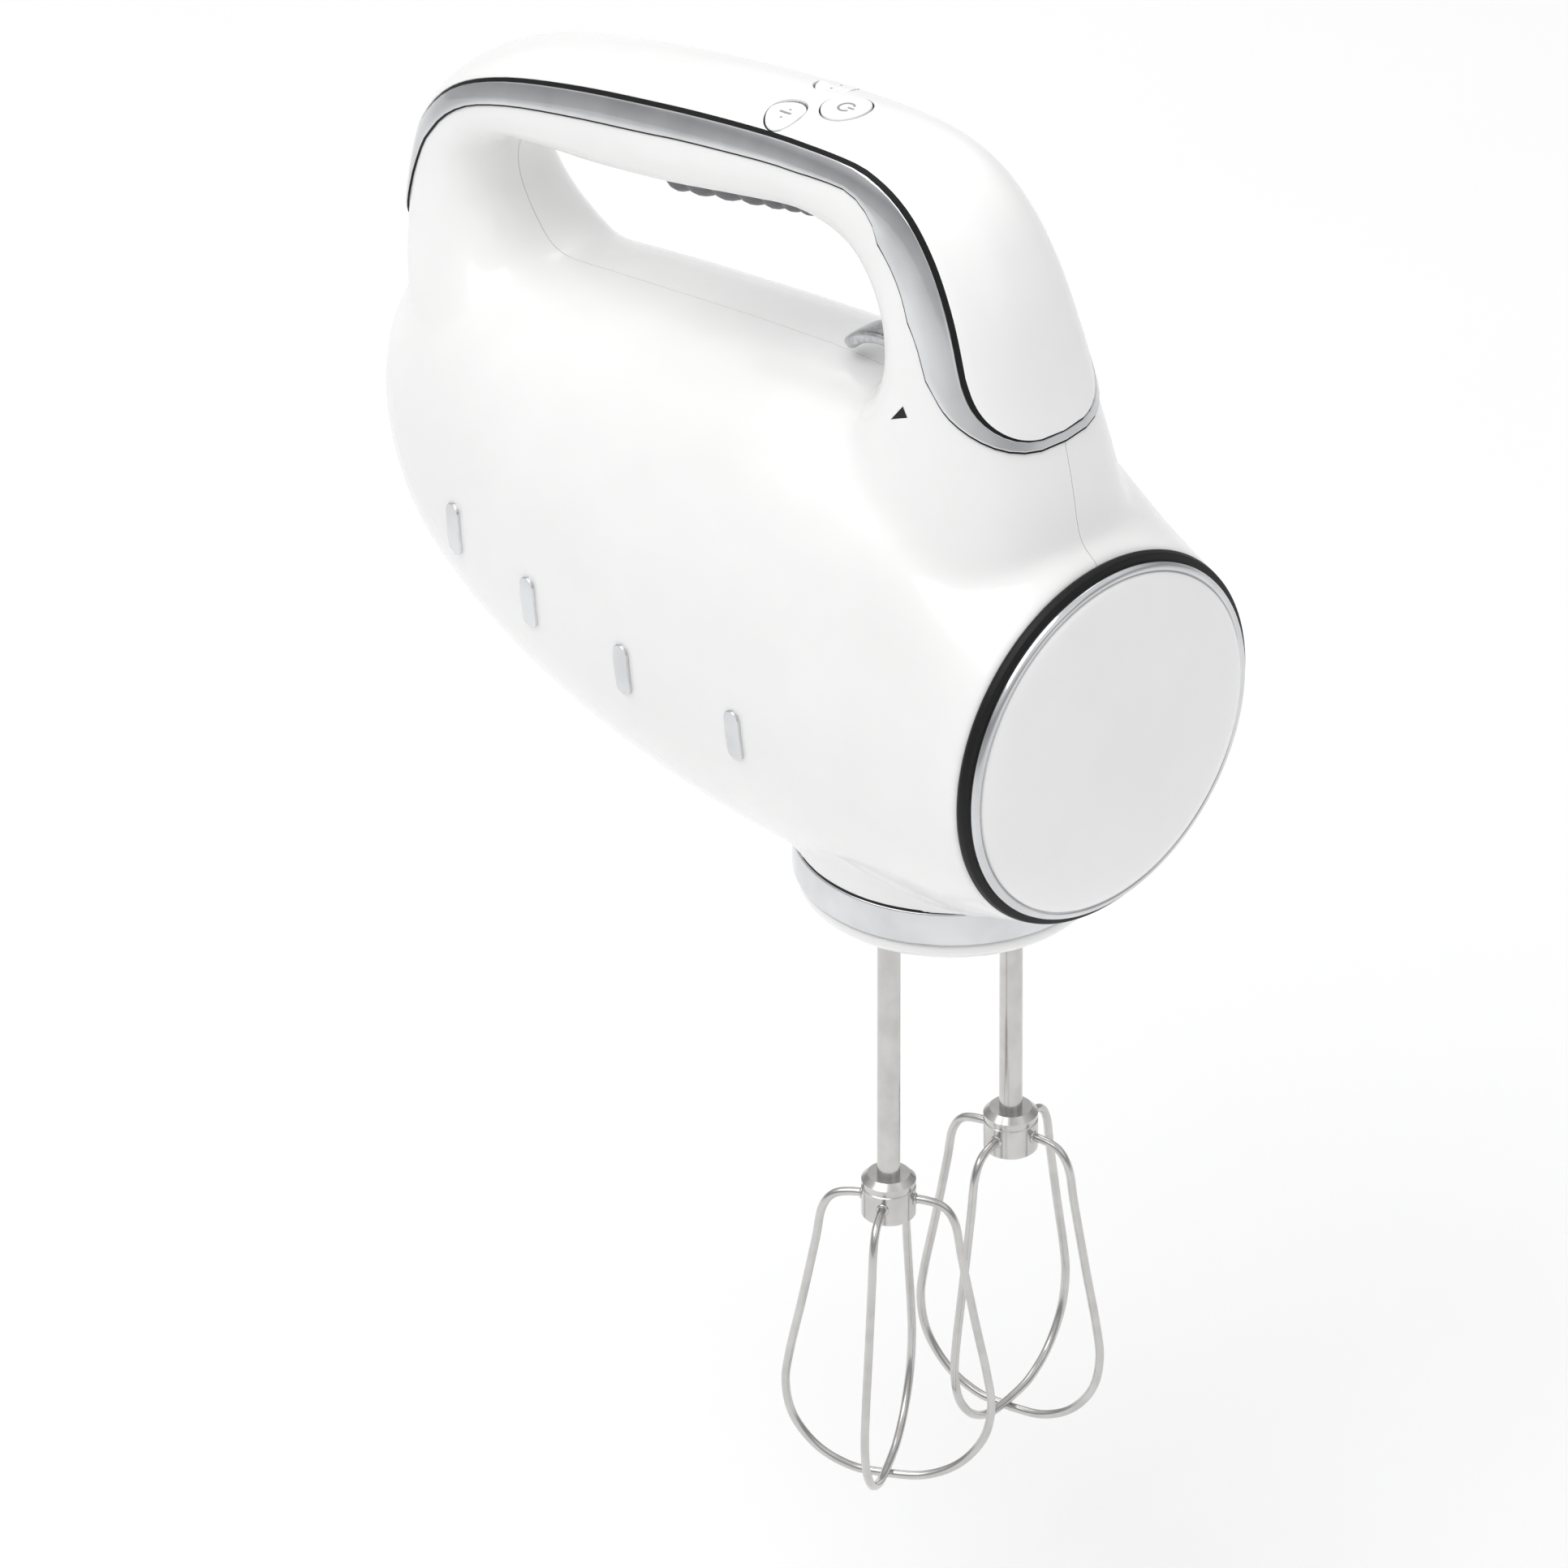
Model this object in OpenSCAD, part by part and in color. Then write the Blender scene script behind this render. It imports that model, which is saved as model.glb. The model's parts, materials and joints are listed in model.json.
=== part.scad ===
// Hand mixer with two wire beaters.
// +X points to the round front cap, +Y to the user's left, +Z up. The design is drawn around the centre
// of the base's underside, and placed() moves it so that the origin is the middle of the hand grip.

/* [Body] */
// Wall of the two housing halves
wall = 2.5; // [2:0.1:3.2]
// Radius of the round front end
front_r = 46.5; // [45:0.5:48]
// Place of the front end along the body
front_x = 48; // [44:1:60]
// Height of the motor and of the front end's centre over the base
axis_z = 61.5; // [60:0.5:64]
// Gap between the two housing halves
seam_gap = 0.1; // [0.05:0.05:0.3]
// Gap between pieces that fit into each other
fit_gap = 0.15; // [0.1:0.05:0.3]

/* [Handle] */
// Half the width of the top cover along the grip
cover_half = 13.5; // [11:0.5:14]
// Half the width of the top cover at its front tongue
tongue_half = 18.5; // [16:0.5:19]
// Width of the bright trim beside the cover
trim_w = 3.7; // [2.5:0.1:4]
// Thickness of the top cover
cover_t = 2.4; // [1.8:0.1:3]
// Thickness of the bright trim
trim_t = 1.6; // [1.2:0.1:2.2]
// Depth of the grip's finger scallops
scallop_r = 3.4; // [3:0.1:4]

/* [Buttons] */
// Radius of the power button
power_r = 6; // [5:0.1:6.3]
// Radius of the plus and minus buttons
step_r = 4.9; // [4:0.1:5.1]
// Play around each button
button_gap = 0.35; // [0.3:0.05:0.5]
// How far a button goes in
button_travel = 0.8; // [0.5:0.1:1]

/* [Base] */
// Outer radius of the bright collar
collar_r = 36.5; // [35:0.5:38]
// Wall of the collar
collar_t = 2.2; // [1.5:0.1:3]
// Height of the white cap under the collar
cap_h = 5; // [4:0.5:7]
// Top of the collar over the base
collar_top = 14.4; // [12:0.2:16]

/* [Drive] */
// Distance between the two beaters
beater_gap = 40; // [40:1:46]
// Radius of a beater's shaft
beater_shaft_r = 2.7; // [2.5:0.05:3]
// Running play of a shaft in its hole
run_gap = 0.05; // [0.03:0.01:0.08]
// Radius of the hollow spindles
spindle_r = 5.5; // [5:0.1:6]
// Radius of the motor shaft
motor_shaft_r = 4; // [3:0.1:4.2]
// Teeth on each spindle gear
gear_teeth = 28; // [28:4:32]
// How far the ejector pushes the beaters
eject_travel = 3.4; // [2:0.1:3.4]

/* [Beaters] */
// Radius of the beater wire
wire_r = 1; // [0.8:0.1:1.3]
// Largest radius of a wire cage
cage_r = 24.4; // [22:0.2:25]
// Height of a wire cage
cage_h = 76.5; // [65:0.5:90]
// Depth of the wires' exit under the base
cage_top = 77; // [65:1:90]
// Radius of a beater's hub
hub_r = 6.35; // [5.5:0.1:7]
// Height of a beater's hub
hub_h = 11; // [9:0.5:13]
// Turn of the right beater's cage at rest
right_turn = 32; // [20:0.5:36]

/* [Motor] */
// Radius of the rotor
rotor_r = 16; // [14:0.5:16.5]
// Length of the rotor and stator laminations
core_l = 32; // [26:1:34]
// Air gap between rotor and stator
air_gap = 0.7; // [0.5:0.1:1]

/* [Hidden] */
$fn = 48;
eps = 0.01;

// The origin is the middle of the grip.
grip_x = -66;
grip_z = 174;

// Barrel stations: place along X, underside, top, half width, roundness exponent.
BARREL = [
    [-164, 66, 96, 15, 2.2],
    [-161, 53, 105, 23, 2.2],
    [-153, 42, 109, 30, 2.2],
    [-140, 31, 112, 36, 2.3],
    [-118, 20, 116, 41, 2.35],
    [-90, 11, 121, 44.5, 2.35],
    [-55, 5, 127, 46.5, 2.35],
    [-20, 4, 131, front_r + 0.8, 2.35],
    [10, 6, 127, front_r + 1, 2.3],
    [32, 10.5, 114.5, front_r + 0.8, 2.15],
    [front_x, axis_z - front_r, axis_z + front_r, front_r, 2]
];

// Handle stations: crown x and z, inner x and z, half width. The loop runs from the heel over the grip
// and down the front column, and both ends are sunk in the barrel.
HANDLE = [
    [-150, 80, -112, 94, 30],
    [-162, 100, -122, 108, 27],
    [-165.5, 116, -132, 118.5, 22],
    [-165, 132, -140, 131, 18.5],
    [-161, 146, -139, 141, 17.5],
    [-152, 158, -130, 147.5, 17],
    [-136, 168, -118, 149.5, 17],
    [-112, 177, -102, 151.5, 17],
    [-84, 185, -80, 156.5, 17.5],
    [-56, 191.3, -54, 164, 17.5],
    [-34, 195, -36, 168.5, 17.5],
    [-14, 197, -22, 166.5, 18],
    [2, 195, -16, 160, 18.5],
    [14, 187, -12.5, 153, 19.5],
    [23, 174, -11, 146, 21],
    [30, 158, -11.5, 139, 22.5],
    [36, 141, -16, 131, 24.5],
    [40.5, 122, -24, 120, 29],
    [43, 100, -28, 104, 35]
];
handle_n = 2.4;
barrel_sides = 28;
handle_sides = 24;

// The cover runs from a rear tip to the front tongue, counted in handle stations.
cover_rear = 1.7;
cover_front = 16.1;
cover_round = 1.05;
// The front tip is squarer than an ellipse.
tongue_n = 3;
cover_deep = 9;
trim_deep = 12;
trim_past = 0.13;

// Drive
module_mm = 1;
starts = 2;
gear_pitch_r = gear_teeth * module_mm / 2;
worm_pitch_r = beater_gap / 2 - gear_pitch_r;
worm_root_r = worm_pitch_r - 1.2 * module_mm;
worm_tip_r = worm_pitch_r + module_mm;
worm_lead = starts * PI * module_mm;
gear_face = 6;
gear_twist = gear_face * worm_lead / (2 * PI * worm_pitch_r) / gear_pitch_r * 180 / PI;
worm_l = 22;

// Gearbox box
box_x = 24;
box_y = beater_gap / 2 + gear_pitch_r + module_mm + 2.6;
box_wall = 2.2;
lid_t = 3;
worm_room = 3.5;
box_low = axis_z - worm_tip_r - worm_room - lid_t;
box_high = axis_z + worm_tip_r + worm_room + 2;

// Spindles and pins
spindle_low = 3;
spindle_top = box_high + lid_t + 1.5;
bush_wall = 2;
shaft_top = 45;
pin_r = beater_shaft_r - 0.1;
pin_top = spindle_top + eject_travel + 5;
pin_head_h = 2;
fork_gap = 0.3;
fork_low = pin_top + pin_head_h + fork_gap;
fork_t = 3;
ear_low = 4;
ear_h = 5;
ear_r = 4.2;
ear_t = 1.6;

// Eject lever
pivot_x = -3;
pivot_z = 139;
lever_arm = 14;
lever_half = 4.5;
lever_pin_r = 1.5;
nose_r = 2.2;
stem_top = pivot_z - nose_r - fork_gap;
stem_half_x = 3;

// Motor stack along X
core_x = -78;
coil_over = 6;
pole_half = 10.7;
coil_w = 6;
coil_low = rotor_r + 2.4;
coil_high = coil_low + 7.6;
stator_y = 29;
stator_z = coil_high + 4;
shaft_rear = -128;
shaft_front = 26;
comm_x = -103;
comm_l = 11;
comm_r = 10;
fan_x = -34;
fan_l = 9;
fan_r = 26;
rear_bearing_x = -118;
bearing_l = 6;
bearing_r = 7;

// Boards and buttons
button_tilt = 9;
power_x = -34;
step_x = -45.5;
step_y = 8.2;
board_depth = 12;
board_t = 1.6;
tact_h = 4;
cap_proud = 0.4;
button_foot = board_depth - tact_h - button_travel - 0.2;

// Housing screws that join the halves: x and z.
BOSSES = [[-146, 64], [-104, 28], [-104, 104], [36, 97], [36, 27]];
boss_r = 4.2;
screw_r = 1.5;
screw_head_r = 2.8;
screw_y = 22;

// Side marks: x and z of four plain bars.
MARKS = [[-121.5, 60], [-93.5, 54], [-61, 51], [-24, 50]];
mark_w = 4.6;
mark_h = 14;
mark_proud = 0.8;

// Top of the housing's neck over the collar
neck_top = 26;

// Cord inlet. Past inlet_grip, which holds the cord, the bore is wider.
inlet_z = 53;
inlet_r = 3.6;
inlet_l = 20;
inlet_x = -169;
inlet_grip = 6;

// ---------------------------------------------------------------- curves

// A point on the smooth curve through rows a, b, c and d, between b and c.
function blend4(a, b, c, d, t) =
    0.5 * (2 * b + (c - a) * t + (2 * a - 5 * b + 4 * c - d) * t * t
        + (3 * b - a - 3 * c + d) * t * t * t);

// The smooth curve through rows at station s, a real number of rows.
function along(rows, s) =
    let (last = len(rows) - 1, i = min(floor(s), last - 1), t = s - i)
    blend4(rows[max(i - 1, 0)], rows[i], rows[i + 1], rows[min(i + 2, last)], t);

function flat_sine(v, n) = sign(v) * pow(abs(v), 2 / n);

// One closed oval: [across, up] points of half sizes a and b with exponent n.
function oval(a, b, n, sides) =
    [for (i = [0:sides - 1]) let (t = 360 * (i + 0.5) / sides) [a * flat_sine(cos(t), n), b * flat_sine(sin(t), n)]];

function barrel_ring(row, inset) =
    let (mid = (row[1] + row[2]) / 2, half = (row[2] - row[1]) / 2 - inset)
    [for (p = oval(row[3] - inset, half, row[4], barrel_sides)) [row[0], p[0], mid + p[1]]];

// A ring of the handle: p[0] across, p[1] from the middle out to the crown.
function handle_point(row, p) =
    let (mid = [row[0] + row[2], row[1] + row[3]] / 2,
         out = [row[0] - row[2], row[1] - row[3]] / norm([row[0] - row[2], row[1] - row[3]]))
    [mid[0] + out[0] * p[1], p[0], mid[1] + out[1] * p[1]];

function handle_half(row) = norm([row[0] - row[2], row[1] - row[3]]) / 2;

function handle_ring(row, inset) =
    [for (p = oval(row[4] - inset, handle_half(row) - inset, handle_n, handle_sides)) handle_point(row, p)];

// Half width of the cover at station s, rounded off at both tips.
function cover_width(s, more, past) =
    let (front = cover_front + past, rear = cover_rear - past,
         side = s < 11 ? cover_half : cover_half + (tongue_half - cover_half) * min((s - 11) / 4, 1),
         tip = (s - front + cover_round) / cover_round,
         into = max(tip, (rear + cover_round - s) / cover_round, 0), n = tip > 0 ? tongue_n : 2)
    (side + more) * max(pow(max(1 - pow(into, n), 0), 1 / n), 0.02);

// A box ring of the cutter that follows the cover, from outside the crown down to a depth.
function cutter_ring(s, more, past, deep) =
    let (row = along(HANDLE, s), w = cover_width(s, more, past), top = handle_half(row) + 4,
         low = handle_half(row) - deep)
    [for (p = [[-w, low], [w, low], [w, top], [-w, top]]) handle_point(row, p)];

// ---------------------------------------------------------------- shared solids

// A solid through equal rings, one convex stretch at a time.
module rings_solid(rings) {
    n = len(rings[0]);
    for (i = [0:len(rings) - 2])
        hull()
            polyhedron(points = concat(rings[i], rings[i + 1]),
                faces = [[for (k = [0:n - 1]) k], [for (k = [0:n - 1]) n + k]]);
}

barrel_steps = 2;
module barrel(inset) {
    last = (len(BARREL) - 1) * barrel_steps;
    rows = [for (i = [0:last]) along(BARREL, i / barrel_steps)];
    rear = BARREL[0][0];
    // The ends move in with the inset as well.
    rings_solid([for (i = [0:last])
        let (row = rows[i], x = i == 0 ? rear + inset : i == last ? front_x - inset : row[0])
        barrel_ring([max(x, rear + inset), row[1], row[2], row[3], row[4]], inset)]);
}

handle_steps = 1.5;
module handle(inset) {
    last = floor((len(HANDLE) - 1) * handle_steps);
    rings_solid([for (i = [0:last]) handle_ring(along(HANDLE, i / handle_steps), inset)]);
}

cutter_step = 0.5;
module cover_cutter(more, past, deep) {
    rear = cover_rear - past;
    front = cover_front + past;
    tips = [0, 0.03, 0.12, 0.28, 0.5, 0.75];
    mid = [for (s = [rear + cover_round:cutter_step:front - cover_round]) s];
    stations = concat([for (t = tips) rear + t * cover_round], mid, [for (i = [5:-1:0]) front - tips[i] * cover_round]);
    rings_solid([for (s = stations) cutter_ring(s, more, past, deep)]);
}

// A ring or disc along X.
module disc_x(x, r, l, hole = 0) {
    translate([x, 0, axis_z])
        rotate([0, 90, 0])
            difference() {
                cylinder(r = r, h = l);
                if (hole > 0)
                    translate([0, 0, -1])
                        cylinder(r = hole, h = l + 2);
            }
}

// A block from its low corner to its high corner.
module block(a, b) {
    translate(a)
        cube([b[0] - a[0], b[1] - a[1], b[2] - a[2]]);
}

// A tube along Z.
module tube(z0, z1, r, hole) {
    translate([0, 0, z0])
        difference() {
            cylinder(r = r, h = z1 - z0);
            translate([0, 0, -1])
                cylinder(r = hole, h = z1 - z0 + 2);
        }
}

// A rod of round wire through planar points [out, up], held in the XZ plane.
module wire_sweep(points, r, sides) {
    n = len(points);
    rings = [for (i = [0:n - 1])
        let (d = points[min(i + 1, n - 1)] - points[max(i - 1, 0)], u = d / norm(d), p = points[i])
        for (k = [0:sides - 1])
            let (a = 360 * k / sides)
            [p[0] - u[1] * r * cos(a), r * sin(a), p[1] + u[0] * r * cos(a)]];
    polyhedron(points = rings, faces = concat(
        [[for (k = [sides - 1:-1:0]) k]],
        [for (i = [0:n - 2]) for (k = [0:sides - 1])
            let (a = i * sides + k, b = i * sides + (k + 1) % sides) [a, b, b + sides]],
        [for (i = [0:n - 2]) for (k = [0:sides - 1])
            let (a = i * sides + k, b = i * sides + (k + 1) % sides) [a, b + sides, a + sides]],
        [[for (k = [0:sides - 1]) (n - 1) * sides + k]]));
}

// ---------------------------------------------------------------- housing

vent_n = 5;
vent_pitch = 7;
module vents(side) {
    for (i = [0:vent_n - 1])
        hull()
            for (y = [8, 20])
                translate([-128 + i * vent_pitch, side * y, 0])
                    cylinder(r = 1.3, h = 40, $fn = 12);
}

module housing_half(side) {
    color("white")
        intersection() {
            difference() {
                union() {
                    difference() {
                        union() {
                            barrel(0);
                            handle(0);
                        }
                        barrel(wall);
                        handle(wall);
                    }
                    // The neck comes down to the collar.
                    tube(collar_top + fit_gap, neck_top, collar_r, collar_r - wall);
                    intersection() {
                        union() {
                            barrel(wall / 2);
                            handle(wall / 2);
                        }
                        for (b = BOSSES)
                            translate([b[0], 0, b[1]])
                                rotate([90, 0, 0])
                                    cylinder(r = boss_r, h = 120, center = true, $fn = 20);
                    }
                }
                cover_cutter(trim_w + fit_gap, trim_past, trim_deep);
                // Hole for the base.
                translate([0, 0, -20])
                    cylinder(r = collar_r + fit_gap, h = collar_top + fit_gap + 20, $fn = 64);
                // Room for the spindles over the base.
                for_spindles()
                    cylinder(r = spindle_r + 1, h = box_low, $fn = 32);
                // Window for the eject lever.
                block([pivot_x - 24, -lever_half - 1, pivot_z - 7], [pivot_x - 2, lever_half + 1, pivot_z + 8]);
                // Hole for the cord gland.
                translate([inlet_x - 10, 0, inlet_z])
                    rotate([0, 90, 0])
                        cylinder(r = inlet_r + 2.5 + fit_gap, h = 30, $fn = 32);
                vents(side);
                // Screw holes: a head recess from the left, a close hole in the right boss.
                for (b = BOSSES)
                    translate([b[0], 0, b[1]])
                        rotate([-90, 0, 0]) {
                            translate([0, 0, -screw_y - 0.5])
                                cylinder(r = screw_r + 0.05, h = 60, $fn = 16);
                            translate([0, 0, 10])
                                cylinder(r = screw_head_r + fit_gap, h = 60, $fn = 20);
                        }
            }
            if (side > 0)
                block([-200, seam_gap / 2, -50], [100, 100, 260]);
            else
                block([-200, -100, -50], [100, -seam_gap / 2, 260]);
        }
}

module left_housing() { housing_half(1); }
module right_housing() { housing_half(-1); }

module handle_trim() {
    color("silver")
        difference() {
            intersection() {
                difference() {
                    handle(0);
                    handle(trim_t);
                }
                cover_cutter(trim_w, trim_past, trim_deep);
            }
            cover_cutter(fit_gap / 2, 0, trim_deep + 5);
            barrel(0);
        }
}

module handle_cover() {
    color("white")
        difference() {
            intersection() {
                difference() {
                    handle(0);
                    handle(cover_t);
                }
                cover_cutter(-fit_gap / 2, 0, cover_deep);
            }
            for_button(power_x, 0)
                cylinder(r = power_r + button_gap, h = 20, center = true, $fn = 40);
            for (y = [-step_y, step_y])
                for_button(step_x, y)
                    cylinder(r = step_r + button_gap, h = 20, center = true, $fn = 36);
            barrel(0);
        }
}

// The ribbed soft pad under the grip: scallops along the handle's inner line.
pad_first = 7.9;
pad_last = 10.15;
pad_n = 8;
pad_half = 9;
module grip_pad() {
    color("dimgray")
        difference() {
            for (i = [0:pad_n - 1]) {
                row = along(HANDLE, pad_first + (pad_last - pad_first) * i / (pad_n - 1));
                hull()
                    for (y = [-pad_half + scallop_r / 2, pad_half - scallop_r / 2])
                        for (dx = [-2.6, 2.6])
                            translate([row[2] + dx, y, row[3] - 0.2])
                                sphere(r = scallop_r, $fn = 12);
            }
            handle(0);
        }
}

module side_marks() {
    color("silver")
        intersection() {
            difference() {
                barrel(-mark_proud);
                barrel(-0.02);
            }
            for (side = [-1, 1])
                for (m = MARKS)
                    translate([m[0], side * 40, m[1]])
                        rotate([90, 0, 0])
                            linear_extrude(height = 30, center = true)
                                union() {
                                    square([mark_w, mark_h - mark_w], center = true);
                                    for (k = [-1, 1])
                                        translate([0, k * (mark_h - mark_w) / 2])
                                            circle(d = mark_w, $fn = 16);
                                }
        }
}

// ---------------------------------------------------------------- front and base

gasket_w = 2.2;
gasket_l = 2;
ring_w = 2.1;
dome_h = 5;
dome_wall = 2.2;

module front_gasket() {
    color("black")
        disc_x(front_x, front_r - 0.2, gasket_l, front_r - 9);
}

module front_ring() {
    color("silver")
        disc_x(front_x + gasket_l, front_r - gasket_w, 1.8, front_r - 6);
}

module front_cap() {
    cap_r = front_r - gasket_w - ring_w;
    skirt = gasket_l + 1.8;
    dome_r = (cap_r * cap_r + dome_h * dome_h) / (2 * dome_h);
    color("white")
        translate([front_x, 0, axis_z])
            rotate([0, 90, 0])
                union() {
                    translate([0, 0, skirt])
                        difference() {
                            intersection() {
                                cylinder(r = cap_r, h = dome_h + 1);
                                translate([0, 0, dome_h - dome_r])
                                    sphere(r = dome_r, $fn = 240);
                            }
                            translate([0, 0, -1])
                                cylinder(r = cap_r - 6, h = dome_h - dome_wall);
                        }
                    // The skirt plugs into the bright ring and the gasket.
                    difference() {
                        cylinder(r = front_r - 9 - fit_gap, h = skirt + eps);
                        translate([0, 0, -1])
                            cylinder(r = front_r - 12, h = skirt + 2);
                    }
                }
}

module base_collar() {
    color("silver")
        tube(cap_h, collar_top, collar_r, collar_r - collar_t);
}

module base_cap() {
    color("white")
        difference() {
            union() {
                cylinder(r = collar_r - 1.2, h = cap_h);
                tube(cap_h - eps, collar_top, collar_r - collar_t - fit_gap, collar_r - collar_t - 3);
                for (y = [-1, 1])
                    translate([0, y * beater_gap / 2, cap_h - eps])
                        cylinder(r = spindle_r + bush_wall + 2.5, h = 8);
            }
            for (y = [-1, 1])
                translate([0, y * beater_gap / 2, 0]) {
                    translate([0, 0, -1])
                        cylinder(r = spindle_r + 0.6, h = 20);
                    translate([0, 0, cap_h])
                        cylinder(r = spindle_r + bush_wall, h = 20);
                }
            for (x = [-1, 1])
                translate([x * 26, 0, -1]) {
                    cylinder(r = screw_r, h = 20);
                    cylinder(r = screw_head_r + fit_gap, h = 3);
                }
        }
}

module base_screws() {
    color("gray")
        for (x = [-1, 1])
            translate([x * 26, 0, 0])
                union() {
                    cylinder(r = screw_head_r, h = 1.8);
                    translate([0, 0, 1.8 - eps])
                        cylinder(r = screw_r, h = 9);
                }
}

module cord_gland() {
    color("white")
        translate([inlet_x, 0, inlet_z])
            rotate([0, 90, 0])
                difference() {
                    union() {
                        cylinder(r = inlet_r + 2.5, h = inlet_l);
                        translate([0, 0, inlet_l - 3])
                            cylinder(r = inlet_r + 4.5, h = 3);
                    }
                    translate([0, 0, -1])
                        cylinder(r = inlet_r, h = inlet_l + 2);
                    // Past its grip on the cord, the bore is wider.
                    translate([0, 0, inlet_grip])
                        cylinder(r = inlet_r + 0.8, h = inlet_l);
                }
}

module housing_screws() {
    color("gray")
        for (b = BOSSES)
            translate([b[0], 0, b[1]])
                rotate([-90, 0, 0])
                    union() {
                        translate([0, 0, -screw_y + 8])
                            cylinder(r = screw_r, h = screw_y + 2);
                        translate([0, 0, 10])
                            cylinder(r = screw_head_r, h = 2.2);
                    }
}

// ---------------------------------------------------------------- gearbox

module for_spindles() {
    for (y = [-1, 1])
        translate([0, y * beater_gap / 2, 0])
            children();
}

bolt_x = box_x - 3.6;
bolt_y = box_y - 3.6;
module gearbox_case() {
    color("dimgray")
        difference() {
            union() {
                difference() {
                    block([-box_x, -box_y, box_low], [box_x, box_y, box_high]);
                    block([-box_x + box_wall, -box_y + box_wall, box_low + lid_t],
                        [box_x - box_wall, box_y - box_wall, box_high + 1]);
                }
                for (x = [-1, 1])
                    for (y = [-1, 1])
                        translate([x * bolt_x, y * bolt_y, box_low])
                            cylinder(r = 2.8, h = box_high - box_low);
            }
            for_spindles()
                translate([0, 0, box_low - 1])
                    cylinder(r = spindle_r + bush_wall, h = lid_t + 2);
            translate([-box_x - 5, 0, axis_z])
                rotate([0, 90, 0])
                    cylinder(r = motor_shaft_r + 1.5, h = 20);
            translate([0, 0, axis_z])
                rotate([0, 90, 0])
                    cylinder(r = bearing_r, h = box_x + 10);
            for (x = [-1, 1])
                for (y = [-1, 1])
                    translate([x * bolt_x, y * bolt_y, box_high - 9])
                        cylinder(r = screw_r, h = 12);
        }
}

module gearbox_lid() {
    color("gray")
        difference() {
            block([-box_x, -box_y, box_high], [box_x, box_y, box_high + lid_t]);
            for_spindles()
                translate([0, 0, box_high - 1])
                    cylinder(r = spindle_r + bush_wall, h = lid_t + 2);
            for (x = [-1, 1])
                for (y = [-1, 1])
                    translate([x * bolt_x, y * bolt_y, box_high - 1])
                        cylinder(r = screw_r + 0.2, h = lid_t + 2);
        }
}

module gearbox_screws() {
    color("silver")
        for (x = [-1, 1])
            for (y = [-1, 1])
                translate([x * bolt_x, y * bolt_y, box_high - 7])
                    union() {
                        cylinder(r = screw_r, h = 7 + lid_t + eps);
                        translate([0, 0, 7 + lid_t])
                            cylinder(r = screw_head_r, h = 2);
                    }
}

module gearbox_bushes() {
    color("goldenrod")
        for_spindles() {
            tube(box_low, box_low + lid_t, spindle_r + bush_wall, spindle_r + run_gap);
            tube(box_high, box_high + lid_t, spindle_r + bush_wall, spindle_r + run_gap);
        }
}

module base_bushes() {
    color("goldenrod")
        for_spindles()
            tube(cap_h, cap_h + 8, spindle_r + bush_wall, spindle_r + run_gap);
}

module front_bearing() {
    color("goldenrod")
        disc_x(box_x - box_wall - 3, bearing_r, bearing_l, motor_shaft_r + run_gap);
}

module rear_bearing() {
    color("goldenrod")
        disc_x(rear_bearing_x, bearing_r, bearing_l, motor_shaft_r + run_gap);
}

module rear_bracket() {
    color("slategray")
        difference() {
            union() {
                block([rear_bearing_x, -30, axis_z - 9], [rear_bearing_x + 4, 30, axis_z + 9]);
                block([rear_bearing_x, -9, axis_z - 26], [rear_bearing_x + 4, 9, axis_z + 26]);
                disc_x(rear_bearing_x, bearing_r + 2.5, bearing_l);
            }
            disc_x(rear_bearing_x - 1, bearing_r, bearing_l + 2);
        }
}

// ---------------------------------------------------------------- motor

module for_poles() {
    for (s = [-1, 1])
        translate([0, 0, axis_z])
            mirror([0, 0, s < 0 ? 1 : 0])
                children();
}

module coil_frame(play) {
    difference() {
        block([core_x - coil_over, -pole_half - coil_w - play, coil_low - play],
            [core_x + core_l + coil_over, pole_half + coil_w + play, coil_high + play]);
        block([core_x - 0.3, -pole_half + play, coil_low - 5],
            [core_x + core_l + 0.3, pole_half - play, coil_high + 5]);
    }
}

module stator_core() {
    color("slategray")
        difference() {
            block([core_x, -stator_y, axis_z - stator_z], [core_x + core_l, stator_y, axis_z + stator_z]);
            disc_x(core_x - 1, rotor_r + air_gap, core_l + 2);
            for_poles()
                for (y = [-1, 1])
                    translate([0, y * (pole_half + coil_w / 2), 0])
                        block([core_x - 1, -coil_w / 2 - 0.2, coil_low - 0.2],
                            [core_x + core_l + 1, coil_w / 2 + 0.2, coil_high + 0.2]);
            for (y = [-1, 1])
                translate([core_x - 1, y * (stator_y + 1), axis_z])
                    rotate([0, 90, 0])
                        cylinder(r = 8, h = core_l + 2);
        }
}

module field_coils() {
    color("peru")
        for_poles()
            coil_frame(0);
}

module motor_shaft() {
    color("silver")
        translate([shaft_rear, 0, axis_z])
            rotate([0, 90, 0])
                cylinder(r = motor_shaft_r, h = shaft_front - shaft_rear);
}

slots = 12;
module rotor_core() {
    color("slategray")
        difference() {
            disc_x(core_x, rotor_r, core_l, motor_shaft_r);
            translate([core_x - 1, 0, axis_z])
                for (i = [0:slots - 1])
                    rotate([i * 360 / slots, 0, 0])
                        translate([0, -1.2, 9])
                            cube([core_l + 2, 2.4, rotor_r]);
        }
}

module rotor_windings() {
    color("peru") {
        disc_x(core_x - 8, rotor_r - 2.5, 8, motor_shaft_r + 1.5);
        disc_x(core_x + core_l, rotor_r - 2.5, 8, motor_shaft_r + 1.5);
    }
}

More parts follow.
